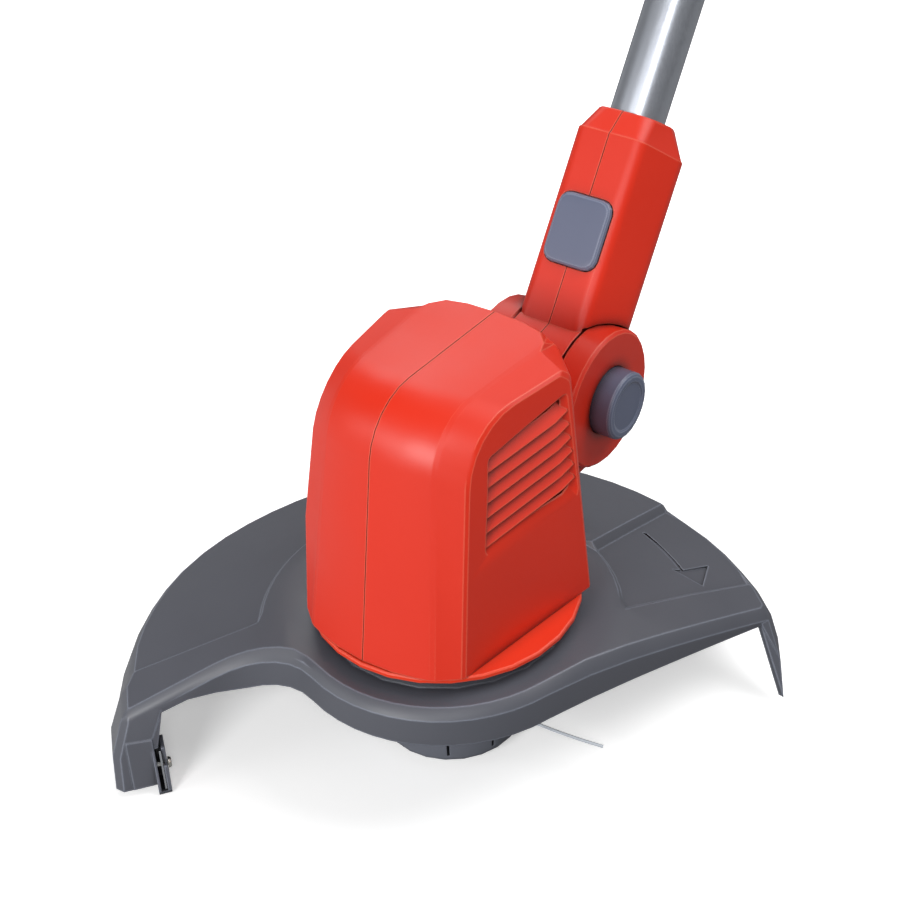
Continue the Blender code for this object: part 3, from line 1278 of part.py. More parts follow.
def handle_half():
    w = GRIP_HALF_WIDTH
    outline = rounded(HANDLE_OUTLINE, 2)
    window = rounded(WINDOW_OUTLINE, 2)
    levels = [(GAP / 2, 0.0), (w - 0.0062, 0.0), (w, 0.0056)]
    body = plate_with_window(outline, window, levels)
    cheek = disc(CHEEK_RADIUS, CHEEK_LOW, CHEEK_LOW + 0.060, 24)
    cheek = combine(cheek, [box((-0.1, -0.1, 0.0), (GAP / 2, 0.1, GRIP + 0.3))])
    body = combine(body, [cheek], "UNION")
    cuts = [disc(UPPER_OUTER + GAP, GRIP - 0.2, UPPER_HIGH + GAP, 20),
            box((-0.01, -0.0135 - GAP, GRIP - 0.030 - GAP), (SWITCH_HALF + GAP, 0.0, GRIP + 0.010 + GAP)),
            box((-0.01, -0.002, GRIP - 0.034), (TRIGGER_HALF + GAP, 0.03, GRIP + 0.0375)),
            box((-0.01, -0.040, LOCK_Z - 0.0085 - GAP), (0.006 + GAP, -0.0125, LOCK_Z + 0.0085 + GAP)),
            disc(INLET_RADIUS + GAP, INLET_LOW, GRIP + 0.12, 16, (0.0, INLET_Y)),
            disc(TRIGGER_PIN + GAP, -0.01, 0.010, 12, TRIGGER_PIVOT, "X")]
    return combine(body, cuts)


SWITCH_HALF = 0.009
TRIGGER_Y = 0.0125
TRIGGER_HALF = 0.0065
TRIGGER_PIN = 0.002
TRIGGER_PIVOT = (TRIGGER_Y - 0.003, GRIP + 0.030)
INLET_LOW = GRIP + 0.074
LOCK_Z = GRIP - 0.056
INLET_RADIUS = 0.011
INLET_Y = 0.010
LEAD_RADIUS = 0.0036


def trigger_shape():
    """Finger lever under the grip, hung on its pin at the rear end."""
    y, z = TRIGGER_Y, GRIP
    outline = rounded([(y - 0.007, z + 0.034, 0.003), (y - 0.0075, z - 0.024, 0.002),
                       (y + 0.004, z - 0.026, 0.002), (y + 0.016, z - 0.024, 0.005),
                       (y + 0.0125, z - 0.004, 0.010), (y + 0.0085, z + 0.020, 0.004),
                       (y + 0.001, z + 0.034, 0.003)], 4)
    lever = prism(outline, -TRIGGER_HALF, TRIGGER_HALF, "X")
    return combine(lever, [disc(TRIGGER_PIN, -0.0092, 0.0092, 12, TRIGGER_PIVOT, "X")], "UNION")


def lock_button_shape():
    """Thumb button in the top of the handle; it frees the trigger."""
    def face(shrink, y):
        half, length = 0.006 - shrink, 0.0085 - shrink
        outline = rounded([(-half, LOCK_Z - length, 0.003), (half, LOCK_Z - length, 0.003),
                           (half, LOCK_Z + length, 0.003), (-half, LOCK_Z + length, 0.003)], 3)
        return [(x, y, z) for x, z in outline]
    return loft([face(0.0, -0.0165), face(0.0, -0.0245), face(0.0008, -0.0258), face(0.0022, -0.0262)])


def switch_shape():
    body = box((-SWITCH_HALF, -0.0135, GRIP - 0.030), (SWITCH_HALF, -0.0045, GRIP + 0.010))
    plunger = box((-0.003, -0.005, GRIP - 0.020), (0.003, -0.0022, GRIP - 0.014))
    return combine(body, [plunger], "UNION")


def lead_stub_shape():
    """The mains lead's bend sleeve with a stub of the lead."""
    low, r = INLET_LOW + GAP, INLET_RADIUS
    profile = [(0.0, low), (r, low), (r, low + 0.020)]
    for i in range(4):
        rise = low + 0.029 + 0.006 * i
        profile += [(0.0085 - 0.0008 * i, rise), (0.0075 - 0.0008 * i, rise + 0.003)]
    profile += [(LEAD_RADIUS, low + 0.055), (LEAD_RADIUS, low + 0.075), (0.0, low + 0.075)]
    return turned(profile, 12, (0.0, INLET_Y))


clear_scene()

RED = finish("red_abs", (0.60, 0.035, 0.018), 0.32)
SLATE = finish("slate_abs", (0.10, 0.125, 0.175), 0.38)
GUARD_GREY = finish("guard_pp", (0.085, 0.092, 0.115), 0.42)
DARK = finish("dark_abs", (0.045, 0.048, 0.055), 0.5)
ALUMINIUM = finish("anodised_aluminium", (0.62, 0.64, 0.67), 0.30, 1.0)
STEEL = finish("bright_steel", (0.55, 0.55, 0.56), 0.28, 1.0)
CORE = finish("lamination_steel", (0.22, 0.22, 0.23), 0.5, 1.0)
COPPER = finish("enamelled_copper", (0.42, 0.15, 0.06), 0.35, 1.0)
CARBON = finish("carbon", (0.02, 0.02, 0.02), 0.7)
NYLON = finish("nylon_line", (0.55, 0.58, 0.60), 0.3)

lean = SHAFT_ANGLE - pi / 2
grip_point = Vector((0.0, HINGE_Y + GRIP_REACH * cos(SHAFT_ANGLE), HINGE_Z + GRIP_REACH * sin(SHAFT_ANGLE)))
head = new_base("head_base", -grip_point)
shaft = new_base("shaft_base", Vector((0.0, HINGE_Y, HINGE_Z)) - grip_point, lean)
spindle = (0.0, 0.0, 0.0)
tilt = (0.0, HINGE_Y, HINGE_Z)

# Rear handle
half = handle_half()
add_piece("rear_handle_left", mirrored(half), RED, shaft)
add_piece("rear_handle_right", half, RED, shaft)
add_piece("switch_block", switch_shape(), DARK, shaft)
add_piece("mains_lead_stub", lead_stub_shape(), DARK, shaft)
add_piece("trigger", trigger_shape(), SLATE, shaft, (0.0, *TRIGGER_PIVOT))
add_piece("lock_off_button", lock_button_shape(), SLATE, shaft, (0.0, -0.0165, LOCK_Z))

# Shaft, clamp and guide handle
add_piece("upper_tube", tube_shape(UPPER_OUTER, UPPER_WALL, UPPER_LOW, UPPER_HIGH), ALUMINIUM, shaft)
add_piece("clamp_collar", clamp_shape(), DARK, shaft, (0.0, 0.0, CLAMP_LOW))
add_piece("guide_bracket", bracket_shape(), DARK, shaft)
add_piece("guide_handle", guide_handle_shape(), DARK, shaft, (0.0, -PIVOT_OUT, BRACKET_Z))
add_piece("guide_bolt", guide_bolt_shape(), STEEL, shaft)
add_piece("lower_tube", tube_shape(TUBE_RADIUS, TUBE_WALL, TUBE_FOOT, LOWER_TOP), ALUMINIUM, shaft)

# Sleeve at the shaft's foot
half = sleeve_half()
add_piece("sleeve_left", mirrored(half), RED, shaft)
add_piece("sleeve_right", half, RED, shaft)
key_middle = (KEY_LOW + KEY_HIGH) / 2
add_piece("swivel_button", sleeve_button_shape(), SLATE, shaft, (0.0, -SLEEVE_FRONT, key_middle))

# Tilt hinge
add_piece("tilt_button", tilt_button_shape(), SLATE, head, (EAR_OUTER, HINGE_Y, HINGE_Z))
add_piece("tilt_spring", coil_spring(SPRING_RADIUS, SPRING_WIRE, POCKET_FLOOR + GAP,
                                     EAR_OUTER + BUTTON_PROUD - 0.003 - GAP, 4, "X", (HINGE_Y, HINGE_Z)),
          STEEL, head, (POCKET_FLOOR + GAP, HINGE_Y, HINGE_Z))
add_piece("pivot_bolt", pivot_bolt_shape(), STEEL, head)
add_piece("pivot_cap", pivot_cap_shape(), RED, head)

# Motor housing and motor
half = housing_half()
add_piece("motor_housing_left", mirrored(half), RED, head)
add_piece("motor_housing_right", half, RED, head)
add_piece("base_disc", base_disc_shape(), RED, head)
add_piece("stator_core", stator_shape(), CORE, head)
add_piece("lower_field_coil", coil_shape(STATOR_LOW - 0.007, STATOR_LOW - GAP), COPPER, head)
add_piece("upper_field_coil", coil_shape(STATOR_HIGH + GAP, STATOR_HIGH + 0.006), COPPER, head)
add_piece("armature", armature_shape(), COPPER, head, spindle)
add_piece("lower_bearing", bearing_shape(LOWER_BEARING), STEEL, head)
add_piece("upper_bearing", bearing_shape(UPPER_BEARING), STEEL, head)
add_piece("carbon_brush_left", brush_shape(-1), CARBON, head)
add_piece("carbon_brush_right", brush_shape(1), CARBON, head)
add_piece("cooling_fan", fan_shape(), DARK, head, spindle)

# Guard and line cutter
add_piece("guard", guard_shape(), GUARD_GREY, head)
for number, bearing in enumerate(SCREW_BEARINGS, 1):
    add_piece("guard_screw_%d" % number, screw_shape(bearing), STEEL, head)
add_piece("line_cutter", blade_shape(), STEEL, head)
add_piece("cutter_screw", cutter_screw_shape(), STEEL, head)

# Cutter head
add_piece("spool_housing", spool_housing_shape(), DARK, head, spindle)
add_piece("line_eyelet", eyelet_shape(), STEEL, head, spindle)
add_piece("cutting_line", line_shape(), NYLON, head, spindle)
add_piece("spool_cap", cap_shape(), DARK, head, spindle)
add_piece("line_spool", spool_shape(), DARK, head, spindle)
add_piece("wound_line", wound_line_shape(), NYLON, head, spindle)
spring_low, spring_high = SPOOL_WALL + 2 * GAP + 0.010, SPOOL_TOP - SPOOL_WALL - GAP
add_piece("spool_spring", coil_spring(0.008, 0.0007, spring_low, spring_high, 4), STEEL, head, spindle)
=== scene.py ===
"""Looks of an electric string trimmer, standing as it is held for mowing.

Units are metres. +Z is up, +Y points to the person who holds it, -Y is the nose of the head.
The grip of the rear handle is at the origin, so the cutter head stands low and in front.
"""

from math import cos, sin, pi, radians

import bpy
from mathutils import Matrix, Vector


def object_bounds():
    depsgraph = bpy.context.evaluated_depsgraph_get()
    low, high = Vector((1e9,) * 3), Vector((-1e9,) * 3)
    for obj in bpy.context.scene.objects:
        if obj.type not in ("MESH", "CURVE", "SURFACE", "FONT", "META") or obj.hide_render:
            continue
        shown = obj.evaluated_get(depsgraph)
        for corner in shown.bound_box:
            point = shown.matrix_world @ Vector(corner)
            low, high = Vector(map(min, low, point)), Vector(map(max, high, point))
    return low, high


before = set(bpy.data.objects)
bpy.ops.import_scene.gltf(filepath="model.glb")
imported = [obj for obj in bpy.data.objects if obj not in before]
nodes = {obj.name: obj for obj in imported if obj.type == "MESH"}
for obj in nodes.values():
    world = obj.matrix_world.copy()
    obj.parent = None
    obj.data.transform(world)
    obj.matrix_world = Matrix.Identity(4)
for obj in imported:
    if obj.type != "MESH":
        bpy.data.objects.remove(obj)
cad_box = [list(corner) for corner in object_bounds()]


# Motor housing, hinge ears and base disc
# Two halves and a disc of red ABS, injection moulded in a spark-eroded tool, which leaves
# a fine even grain and a soft sheen. The halves meet at the seam down the middle.

def linear(code):
    """An sRGB hex colour as linear light."""
    channels = [int(code[i:i + 2], 16) / 255 for i in (1, 3, 5)]
    return tuple(c / 12.92 if c <= 0.04045 else ((c + 0.055) / 1.055) ** 2.4 for c in channels) + (1.0,)


def new_material(name, colour, roughness, metallic=0.0):
    material = bpy.data.materials.new(name)
    material.use_nodes = True
    shader = material.node_tree.nodes["Principled BSDF"]
    shader.inputs["Base Color"].default_value = linear(colour)
    shader.inputs["Roughness"].default_value = roughness
    shader.inputs["Metallic"].default_value = metallic
    return material, shader


def add(material, kind, links=None, **settings):
    """Add a node; settings are its properties or its inputs' values, links are input: output."""
    node = material.node_tree.nodes.new(kind)
    for key, value in settings.items():
        if hasattr(node, key):
            setattr(node, key, value)
        else:
            node.inputs[key.replace("_", " ").title()].default_value = value
    for name, output in (links or {}).items():
        material.node_tree.links.new(output, node.inputs[name])
    return node


SAME_POINT = 0.000002         # corners this close are one corner


def shade(piece_names, material, crisp):
    """Give the pieces the material; edges that turn by more than crisp degrees stay sharp."""
    for name in piece_names:
        piece = nodes[name]
        mesh = piece.data
        mesh.materials.clear()
        mesh.materials.append(material)
        for layer in ("custom_normal", "sharp_edge", "sharp_face"):
            if layer in mesh.attributes:
                mesh.attributes.remove(mesh.attributes[layer])
        mesh.shade_smooth()
        weld = piece.modifiers.new("weld", "WELD")
        weld.merge_threshold = SAME_POINT
        creases = piece.modifiers.new("creases", "EDGE_SPLIT")
        creases.split_angle = radians(crisp)
        piece.modifiers.new("flat_faces", "WEIGHTED_NORMAL")


MOULD_GRAIN = 0.00040         # spark-eroded texture, drawn coarser than the real 0.1 mm
MOULDED_EDGE = 0.0009         # rounding of a moulded edge
PAINTED_SHADE_REACH = 0.007               # how far the painted shade of a crevice reaches up its walls
CLOUDS = 28.0                 # slow changes of tone and gloss, to the metre


def moulded(name, colours, roughness, grain_height, edge_highlight_amount, edge=MOULDED_EDGE):
    """Injection-moulded plastic: even grain, rounded edges that catch the light, a painted highlight
    along edges and painted shade in crevices.

    The colours are those of its two tones, of the painted shade in crevices and of the painted highlight
    along edges.
    """
    material, shader = new_material(name, colours[0], roughness)
    place = add(material, "ShaderNodeTexCoord")
    true_normal = add(material, "ShaderNodeNewGeometry")
    round_edge = add(material, "ShaderNodeBevel", samples=6, radius=edge)
    grain = add(material, "ShaderNodeTexNoise", {"Vector": place.outputs["Object"]},
                scale=1 / MOULD_GRAIN, detail=2.0, roughness=0.6)
    bump = add(material, "ShaderNodeBump",
               {"Height": grain.outputs["Fac"], "Normal": round_edge.outputs["Normal"]},
               distance=grain_height, strength=0.6)
    cloud = add(material, "ShaderNodeTexNoise", {"Vector": place.outputs["Object"]},
                scale=CLOUDS, detail=3.0)
    gloss = add(material, "ShaderNodeMapRange", {"Value": cloud.outputs["Fac"]},
                from_min=0.3, from_max=0.7, to_min=roughness - 0.04, to_max=roughness + 0.05)
    tone = add(material, "ShaderNodeMixRGB", {"Fac": cloud.outputs["Fac"]},
               color1=linear(colours[0]), color2=linear(colours[1]))
    # painted highlight: the colour turns lighter along edges, where the rounded normal leaves the true
    # one
    turned_away = add(material, "ShaderNodeVectorMath",
                      {0: true_normal.outputs["Normal"], 1: round_edge.outputs["Normal"]},
                      operation="DOT_PRODUCT")
    painted_highlight_mask = add(material, "ShaderNodeMapRange", {"Value": turned_away.outputs["Value"]},
               from_min=0.9985, from_max=0.990, to_min=0.0, to_max=edge_highlight_amount)
    with_painted_highlight = add(material, "ShaderNodeMixRGB",
                {"Fac": painted_highlight_mask.outputs["Result"], "Color1": tone.outputs["Color"]},
                color2=linear(colours[3]))
    # painted shade: the colour darkens towards the third colour where the ambient occlusion finds little
    # open air
    open_air = add(material, "ShaderNodeAmbientOcclusion", samples=6, distance=PAINTED_SHADE_REACH)
    painted_shade_mask = add(material, "ShaderNodeMapRange", {"Value": open_air.outputs["AO"]},
               from_min=0.90, from_max=0.50, to_min=0.0, to_max=0.95)
    with_painted_shade = add(material, "ShaderNodeMixRGB",
              {"Fac": painted_shade_mask.outputs["Result"], "Color1": with_painted_highlight.outputs["Color"]},
              color2=linear(colours[2]))
    tree = material.node_tree
    tree.links.new(with_painted_shade.outputs["Color"], shader.inputs["Base Color"])
    tree.links.new(gloss.outputs["Result"], shader.inputs["Roughness"])
    tree.links.new(bump.outputs["Normal"], shader.inputs["Normal"])
    return material


# warm signal red; the sheen is soft and the grain breaks up the highlights
# the third colour is painted crevice shade, the fourth a painted edge highlight
red_abs = moulded("red_moulded_abs", ("#d6280c", "#da2c0f", "#480903", "#f07a60"), 0.42, 0.00002, 0.45)
HOUSING_HALVES = ["motor_housing_left", "motor_housing_right"]
SPINDLE_FOOT = Vector((0.0, -0.6071263, -0.8988799))  # where the spindle's axis meets the ground
shade(HOUSING_HALVES + ["pivot_cap"], red_abs, 24)

# the disc's red is painted brighter than the housing's, standing in for the light it catches, and its
# painted crevice shade is kept light
red_abs_painted_brighter_for_disc = moulded("red_abs_painted_brighter_for_disc", ("#e0300f", "#e43412", "#c42a10", "#f07a60"), 0.42, 0.00002, 0.45)
shade(["base_disc"], red_abs_painted_brighter_for_disc, 24)


PANEL_HALF = 0.034            # half width of the front panel at its lower edge
PANEL_FOOT = (-0.055, 0.080)  # that edge's place, behind and above the spindle's foot
PANEL_SPREAD = 0.06           # the panel widens towards the back and narrows upwards


def crease_half(y, z):
    """Half width of the front and top panels, from the spindle's foot, as the housing has it."""
    return PANEL_HALF + PANEL_SPREAD * (y - PANEL_FOOT[0]) - PANEL_SPREAD * (z - PANEL_FOOT[1])


CREASE_SIDES = ((0.956, 0.964), (1.015, 1.040))  # both sides of the narrow crease, as shares of that

for name in HOUSING_HALVES:
    # the crease round the front and top panels stays crisp
    mesh = nodes[name].data
    for low, high in CREASE_SIDES:
        near = []
        for vert in mesh.vertices:
            place = vert.co - SPINDLE_FOOT
            near.append(low < abs(place.x) / crease_half(place.y, place.z) < high)
        for edge in mesh.edges:
            if near[edge.vertices[0]] and near[edge.vertices[1]]:
                edge.use_edge_sharp = True


# Sleeve at the shaft's foot
# Two halves of the same red ABS that close round the tube, with the hinge barrel below.

shade(["sleeve_left", "sleeve_right"], red_abs, 24)


# Push buttons
# Slate-blue ABS, moulded with a matt skin: the tilt button, the swivel button and the grip's two.

# the third colour is painted crevice shade, the fourth a painted edge highlight
slate_abs = moulded("slate_moulded_abs", ("#5e657b", "#636a81", "#23262e", "#989eb1"), 0.42, 0.00002, 0.5)
shade(["tilt_button", "swivel_button", "trigger", "lock_off_button"], slate_abs, 24)


# Guard
# One shell of grey polypropylene with a matt, slightly waxy skin; a sunk arrow shows the turn.

# the third colour is painted crevice shade, the fourth a painted edge highlight
grey_polypropylene = moulded("grey_moulded_polypropylene", ("#50525a", "#54565e", "#1a1b1f", "#8f95a4"),
                             0.43, 0.00003, 0.5, 0.0012)
shade(["guard"], grey_polypropylene, 24)


# Cutter head
# Glass-filled nylon, dark and tough, with a duller skin than the housing's. The fan and the switch
# block inside the tool are of the same stuff.

# the third colour is painted crevice shade, the fourth a painted edge highlight
dark_nylon = moulded("dark_glass_filled_nylon", ("#63666f", "#686b75", "#1b1c20", "#7b7f8b"),
                     0.48, 0.00004, 0.4)
shade(["spool_housing", "spool_cap", "line_spool", "cooling_fan", "switch_block"], dark_nylon, 24)


# Guide handle, its bracket and the clamp collar
# The same dark nylon, moulded with a coarser grip grain.

# the third colour is painted crevice shade, the fourth a painted edge highlight
grip_nylon = moulded("grained_dark_nylon", ("#3d3f46", "#42444c", "#18191c", "#747884"),
                     0.55, 0.00008, 0.3)
shade(["guide_handle", "guide_bracket", "clamp_collar"], grip_nylon, 30)


# Rear handle
# Two halves of the housing's red ABS that close round the upper tube and the switch.

shade(["rear_handle_left", "rear_handle_right"], red_abs, 24)


# Mains lead's bend sleeve
# Soft black PVC with a dull skin.

# the third colour is painted crevice shade, the fourth a painted edge highlight
soft_pvc = moulded("soft_black_pvc", ("#26272a", "#2a2b2e", "#0f0f10", "#4b4d52"), 0.6, 0.00003, 0.2)
shade(["mains_lead_stub"], soft_pvc, 30)


# Shaft tubes
# Drawn aluminium, anodised without colour: a soft grey metal with faint lines along the tube.

SHAFT_ANGLE = radians(55.7)
DRAWN_LINE = 0.0004           # width of a drawing line, coarser than the real 0.05 mm

anodised, shader = new_material("anodised_aluminium", "#c9ced8", 0.40, 1.0)
place = add(anodised, "ShaderNodeTexCoord")
along = add(anodised, "ShaderNodeMapping", {"Vector": place.outputs["Object"]},
            rotation=(pi / 2 - SHAFT_ANGLE, 0.0, 0.0), scale=(1.0, 1.0, 0.004))
lines = add(anodised, "ShaderNodeTexNoise", {"Vector": along.outputs["Vector"]},
            scale=1 / DRAWN_LINE, detail=3.0)
streaks = add(anodised, "ShaderNodeMapRange", {"Value": lines.outputs["Fac"]},
              from_min=0.3, from_max=0.7, to_min=0.28, to_max=0.42)
relief = add(anodised, "ShaderNodeBump", {"Height": lines.outputs["Fac"]},
             distance=0.000006, strength=0.5)
skin = add(anodised, "ShaderNodeMixRGB", {"Fac": lines.outputs["Fac"]},
           color1=linear("#c2c7d1"), color2=linear("#d2d7e0"))
anodised.node_tree.links.new(streaks.outputs["Result"], shader.inputs["Roughness"])
anodised.node_tree.links.new(relief.outputs["Normal"], shader.inputs["Normal"])
anodised.node_tree.links.new(skin.outputs["Color"], shader.inputs["Base Color"])
shade(["upper_tube", "lower_tube"], anodised, 30)


# Screws, bolts and bearings
# Zinc-plated steel: bright, with a faint blue and straw bloom from the passivation.

TURNED_EDGE = 0.0003          # rounding of a turned or pressed metal edge


def plated(name, colours, roughness, bloom):
    """Bright metal whose tint and gloss wander in patches of the bloom's size."""
    material, shader = new_material(name, colours[0], roughness, 1.0)
    place = add(material, "ShaderNodeTexCoord")
    patches = add(material, "ShaderNodeTexNoise", {"Vector": place.outputs["Object"]},
                  scale=1 / bloom, detail=4.0)
    tint = add(material, "ShaderNodeMixRGB", {"Fac": patches.outputs["Fac"]},
               color1=linear(colours[0]), color2=linear(colours[1]))
    gloss = add(material, "ShaderNodeMapRange", {"Value": patches.outputs["Fac"]},
                from_min=0.3, from_max=0.7, to_min=roughness - 0.06, to_max=roughness + 0.08)
    round_edge = add(material, "ShaderNodeBevel", samples=4, radius=TURNED_EDGE)
    relief = add(material, "ShaderNodeBump",
                 {"Height": patches.outputs["Fac"], "Normal": round_edge.outputs["Normal"]},
                 distance=0.00002, strength=0.3)
    tree = material.node_tree
    tree.links.new(tint.outputs["Color"], shader.inputs["Base Color"])
    tree.links.new(gloss.outputs["Result"], shader.inputs["Roughness"])
    tree.links.new(relief.outputs["Normal"], shader.inputs["Normal"])
    return material


zinc_steel = plated("zinc_plated_steel", ("#b4b7bd", "#c4c2b4"), 0.30, 0.004)
shade(["guard_screw_%d" % number for number in (1, 2, 3, 4)], zinc_steel, 30)
shade(["cutter_screw", "pivot_bolt", "guide_bolt", "line_eyelet"], zinc_steel, 30)
bearing_steel = plated("ground_bearing_steel", ("#a5a8ad", "#b3b5b8"), 0.18, 0.010)
shade(["lower_bearing", "upper_bearing"], bearing_steel, 30)


# Springs
# Hard-drawn spring wire, darker and smoother than the screws.

spring_wire = plated("drawn_spring_wire", ("#7f8288", "#8d8f92"), 0.26, 0.003)
shade(["tilt_spring", "spool_spring"], spring_wire, 50)


# Line cutter
# Rolled steel strip, ground to its edge: a cold grey that changes finely over the plate.

blade_steel = plated("ground_blade_steel", ("#9fa3a9", "#b8bbc0"), 0.24, 0.0015)
shade(["line_cutter"], blade_steel, 20)


# Stator, field coils, armature and brushes
# Oiled electrical sheet in a stack, enamelled copper wire in bundles, and sintered carbon.

def banded(name, dark, light, roughness, metallic, pitch, height):
    """Sheets or turns stacked along the spindle, one band to each pitch."""
    material, shader = new_material(name, dark, roughness, metallic)
    place = add(material, "ShaderNodeTexCoord")
    split = add(material, "ShaderNodeSeparateXYZ", {"Vector": place.outputs["Object"]})
    phase = add(material, "ShaderNodeMath", {0: split.outputs["Z"]}, operation="MULTIPLY")
    phase.inputs[1].default_value = 2 * pi / pitch
    wave = add(material, "ShaderNodeMath", {0: phase.outputs["Value"]}, operation="SINE")
    band = add(material, "ShaderNodeMapRange", {"Value": wave.outputs["Value"]}, from_min=-1.0)
    tone = add(material, "ShaderNodeMixRGB", {"Fac": band.outputs["Result"]},
               color1=linear(dark), color2=linear(light))
    relief = add(material, "ShaderNodeBump", {"Height": band.outputs["Result"]},
                 distance=height, strength=0.8)
    material.node_tree.links.new(tone.outputs["Color"], shader.inputs["Base Color"])
    material.node_tree.links.new(relief.outputs["Normal"], shader.inputs["Normal"])
    return material


sheet_steel = banded("oiled_electrical_sheet", "#3a3a3c", "#6c6c6e", 0.45, 1.0, 0.0010, 0.0002)
copper_wire = banded("enamelled_copper_wire", "#7a3514", "#c46a33", 0.30, 1.0, 0.0009, 0.0003)
carbon = plated("sintered_carbon", ("#232325", "#323234"), 0.50, 0.0004)
shade(["stator_core"], sheet_steel, 30)
shade(["lower_field_coil", "upper_field_coil", "armature"], copper_wire, 30)
shade(["carbon_brush_left", "carbon_brush_right"], carbon, 30)


# Cutting line
# Extruded nylon, clear grey: it lets some light through and shines along its length.

SCATTER = 0.001               # how deep light goes into the line
DIE_MARKS = 900.0             # marks of the extruder's die, to the metre

nylon, shader = new_material("extruded_nylon", "#c3c8cf", 0.28)
shader.inputs["Subsurface Weight"].default_value = 0.3
shader.inputs["Subsurface Radius"].default_value = (SCATTER, SCATTER, SCATTER)
shader.inputs["Coat Weight"].default_value = 0.3
place = add(nylon, "ShaderNodeTexCoord")
flow = add(nylon, "ShaderNodeTexNoise", {"Vector": place.outputs["Object"]}, scale=DIE_MARKS, detail=2.0)
relief = add(nylon, "ShaderNodeBump", {"Height": flow.outputs["Fac"]}, distance=0.00002, strength=0.4)
nylon.node_tree.links.new(relief.outputs["Normal"], shader.inputs["Normal"])
shade(["cutting_line", "wound_line"], nylon, 50)


# Floor
# A white studio table that runs out of the picture; it takes the tool's soft shadow. No card stands in
# front of the tool: a patch of the table there glows for glossy rays only, a painted reflection in the
# tool's glossy panels.

GROUND = cad_box[0][2]
TABLE_LEFT, TABLE_RIGHT = -4.0, 4.0
TABLE_FRONT, TABLE_BACK = -5.0, 3.0
SHEET_WHITE = "#f6f6f6"
SHEET_BOUNCE = "#848484"      # what the table sends back up to the tool
WASH_NEAR, WASH_FAR = 0.15, 0.60  # the sheet is washed out to pure white away from the spindle
WASH_LEAST = 0.36
REFLECTION_PATCH_SIDE = (-0.50, -0.86, 0.0)  # the painted reflection patch lies this way from the origin, to the front left
REFLECTION_PATCH_NEAR, REFLECTION_PATCH_FAR = 0.52, 0.80  # where it fades in, along that way
REFLECTION_PATCH_GLOW = 0.55

table = bpy.data.meshes.new("table")
table.from_pydata([(TABLE_LEFT, TABLE_FRONT, GROUND), (TABLE_RIGHT, TABLE_FRONT, GROUND),
                   (TABLE_RIGHT, TABLE_BACK, GROUND), (TABLE_LEFT, TABLE_BACK, GROUND)],
                  [], [(0, 1, 2, 3)])
table_top = bpy.data.objects.new("table_top", table)
bpy.context.collection.objects.link(table_top)
paper, shader = new_material("white_paper", SHEET_WHITE, 0.9)
shader.inputs["Specular IOR Level"].default_value = 0.0
sight = add(paper, "ShaderNodeLightPath")
sheet = add(paper, "ShaderNodeMixRGB", {"Fac": sight.outputs["Is Camera Ray"]},
            color1=linear(SHEET_BOUNCE), color2=linear(SHEET_WHITE))
where = add(paper, "ShaderNodeTexCoord")
away = add(paper, "ShaderNodeVectorMath", {0: where.outputs["Object"]}, operation="DISTANCE")
away.inputs[1].default_value = (0.0, SPINDLE_FOOT.y, GROUND)
wash = add(paper, "ShaderNodeMapRange", {"Value": away.outputs["Value"]},
           from_min=WASH_NEAR, from_max=WASH_FAR, to_min=WASH_LEAST, to_max=1.0)
glow = add(paper, "ShaderNodeMath", {0: wash.outputs["Result"], 1: sight.outputs["Is Camera Ray"]},
           operation="MULTIPLY")
# painted reflection: the table glows in a patch to the front left that only glossy rays see
forward = add(paper, "ShaderNodeVectorMath", {0: where.outputs["Object"]}, operation="DOT_PRODUCT")
forward.inputs[1].default_value = REFLECTION_PATCH_SIDE
painted_reflection_patch = add(paper, "ShaderNodeMapRange", {"Value": forward.outputs["Value"]},
           from_min=REFLECTION_PATCH_NEAR, from_max=REFLECTION_PATCH_FAR, to_min=0.0, to_max=REFLECTION_PATCH_GLOW)
mirrored = add(paper, "ShaderNodeMath", {0: painted_reflection_patch.outputs["Result"], 1: sight.outputs["Is Glossy Ray"]},
               operation="MULTIPLY")
shine = add(paper, "ShaderNodeMath", {0: mirrored.outputs["Value"], 1: glow.outputs["Value"]},
            operation="ADD")
paper.node_tree.links.new(sheet.outputs["Color"], shader.inputs["Base Color"])
paper.node_tree.links.new(shine.outputs["Value"], shader.inputs["Emission Strength"])
shader.inputs["Emission Color"].default_value = (1.0, 1.0, 1.0, 1.0)
table.materials.append(paper)


# Lights
# A soft box overhead, one behind for the sheen on the tops, two low in front, one for the bright
# streak down the tube, and the dim room.

def soft_box(name, place, target, size, power):
    """Round lamp of this width in metres and power in watts that faces the target."""
    lamp = bpy.data.lights.new(name, "AREA")
    lamp.shape = "DISK"
    lamp.size = size
    lamp.energy = power
    light = bpy.data.objects.new(name, lamp)
    light.location = place
    light.rotation_euler = (Vector(target) - Vector(place)).to_track_quat("-Z", "Y").to_euler()
    bpy.context.collection.objects.link(light)


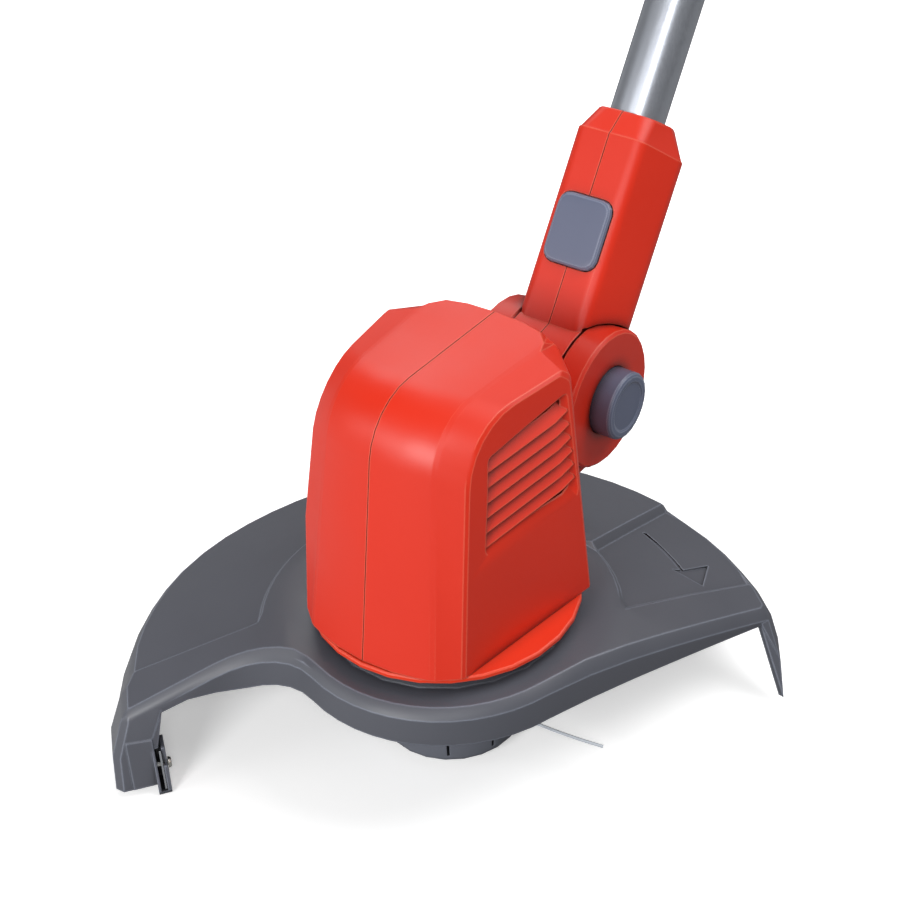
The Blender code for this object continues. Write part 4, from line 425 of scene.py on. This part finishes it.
HEAD = (0.0, -0.60, -0.80)    # the middle of the motor housing
TUBE_FOOT = (0.0, -0.20, -0.20)  # the lower tube's middle
soft_box("key", (0.85, 0.30, 0.90), HEAD, 1.5, 27)
soft_box("sheen", (-1.50, 1.10, 1.15), HEAD, 2.0, 22)
soft_box("front", (0.10, -2.45, -0.05), HEAD, 0.9, 27)
soft_box("left", (-1.20, -2.0, -0.20), HEAD, 0.9, 6)
soft_box("tube_streak", (1.05, -1.80, 0.55), TUBE_FOOT, 0.5, 8)

ROOM_LIGHT = 0.22             # what the room sends to the tool; the camera sees it white
room = bpy.data.worlds.new("room")
bpy.context.scene.world = room
room.use_nodes = True
background = room.node_tree.nodes["Background"]
background.inputs["Color"].default_value = (1.0, 1.0, 1.0, 1.0)
seen = room.node_tree.nodes.new("ShaderNodeLightPath")
power = room.node_tree.nodes.new("ShaderNodeMapRange")
power.inputs["To Min"].default_value = ROOM_LIGHT
power.inputs["To Max"].default_value = 1.0
room.node_tree.links.new(seen.outputs["Is Camera Ray"], power.inputs["Value"])
room.node_tree.links.new(power.outputs["Result"], background.inputs["Strength"])


# Camera
# Matched to the photograph: from the front right, looking down on the cutter head.

AZIMUTH = radians(38.0)       # round the spindle, from straight ahead to the right
PITCH = radians(35.9)         # looking down
ROLL = radians(-3.05)
DISTANCE = 0.882              # from the spindle's foot
SHIFT_ACROSS = -0.0013        # the head stands low in the picture
SHIFT_UP = 0.1276

forward = Vector((-sin(AZIMUTH) * cos(PITCH), cos(AZIMUTH) * cos(PITCH), -sin(PITCH)))
level = Vector((cos(AZIMUTH), sin(AZIMUTH), 0.0))
rise = level.cross(forward)
across = cos(ROLL) * level + sin(ROLL) * rise
upward = -sin(ROLL) * level + cos(ROLL) * rise
eye = SPINDLE_FOOT - forward * DISTANCE + across * SHIFT_ACROSS + upward * SHIFT_UP
lens = bpy.data.cameras.new("camera")
lens.lens = 72.0
lens.sensor_width = 36.0
lens.clip_end = 20.0
camera = bpy.data.objects.new("camera", lens)
camera.matrix_world = Matrix(((across.x, upward.x, -forward.x, eye.x),
                              (across.y, upward.y, -forward.y, eye.y),
                              (across.z, upward.z, -forward.z, eye.z),
                              (0.0, 0.0, 0.0, 1.0)))
bpy.context.collection.objects.link(camera)
bpy.context.scene.camera = camera
bpy.context.scene.view_settings.view_transform = "Standard"
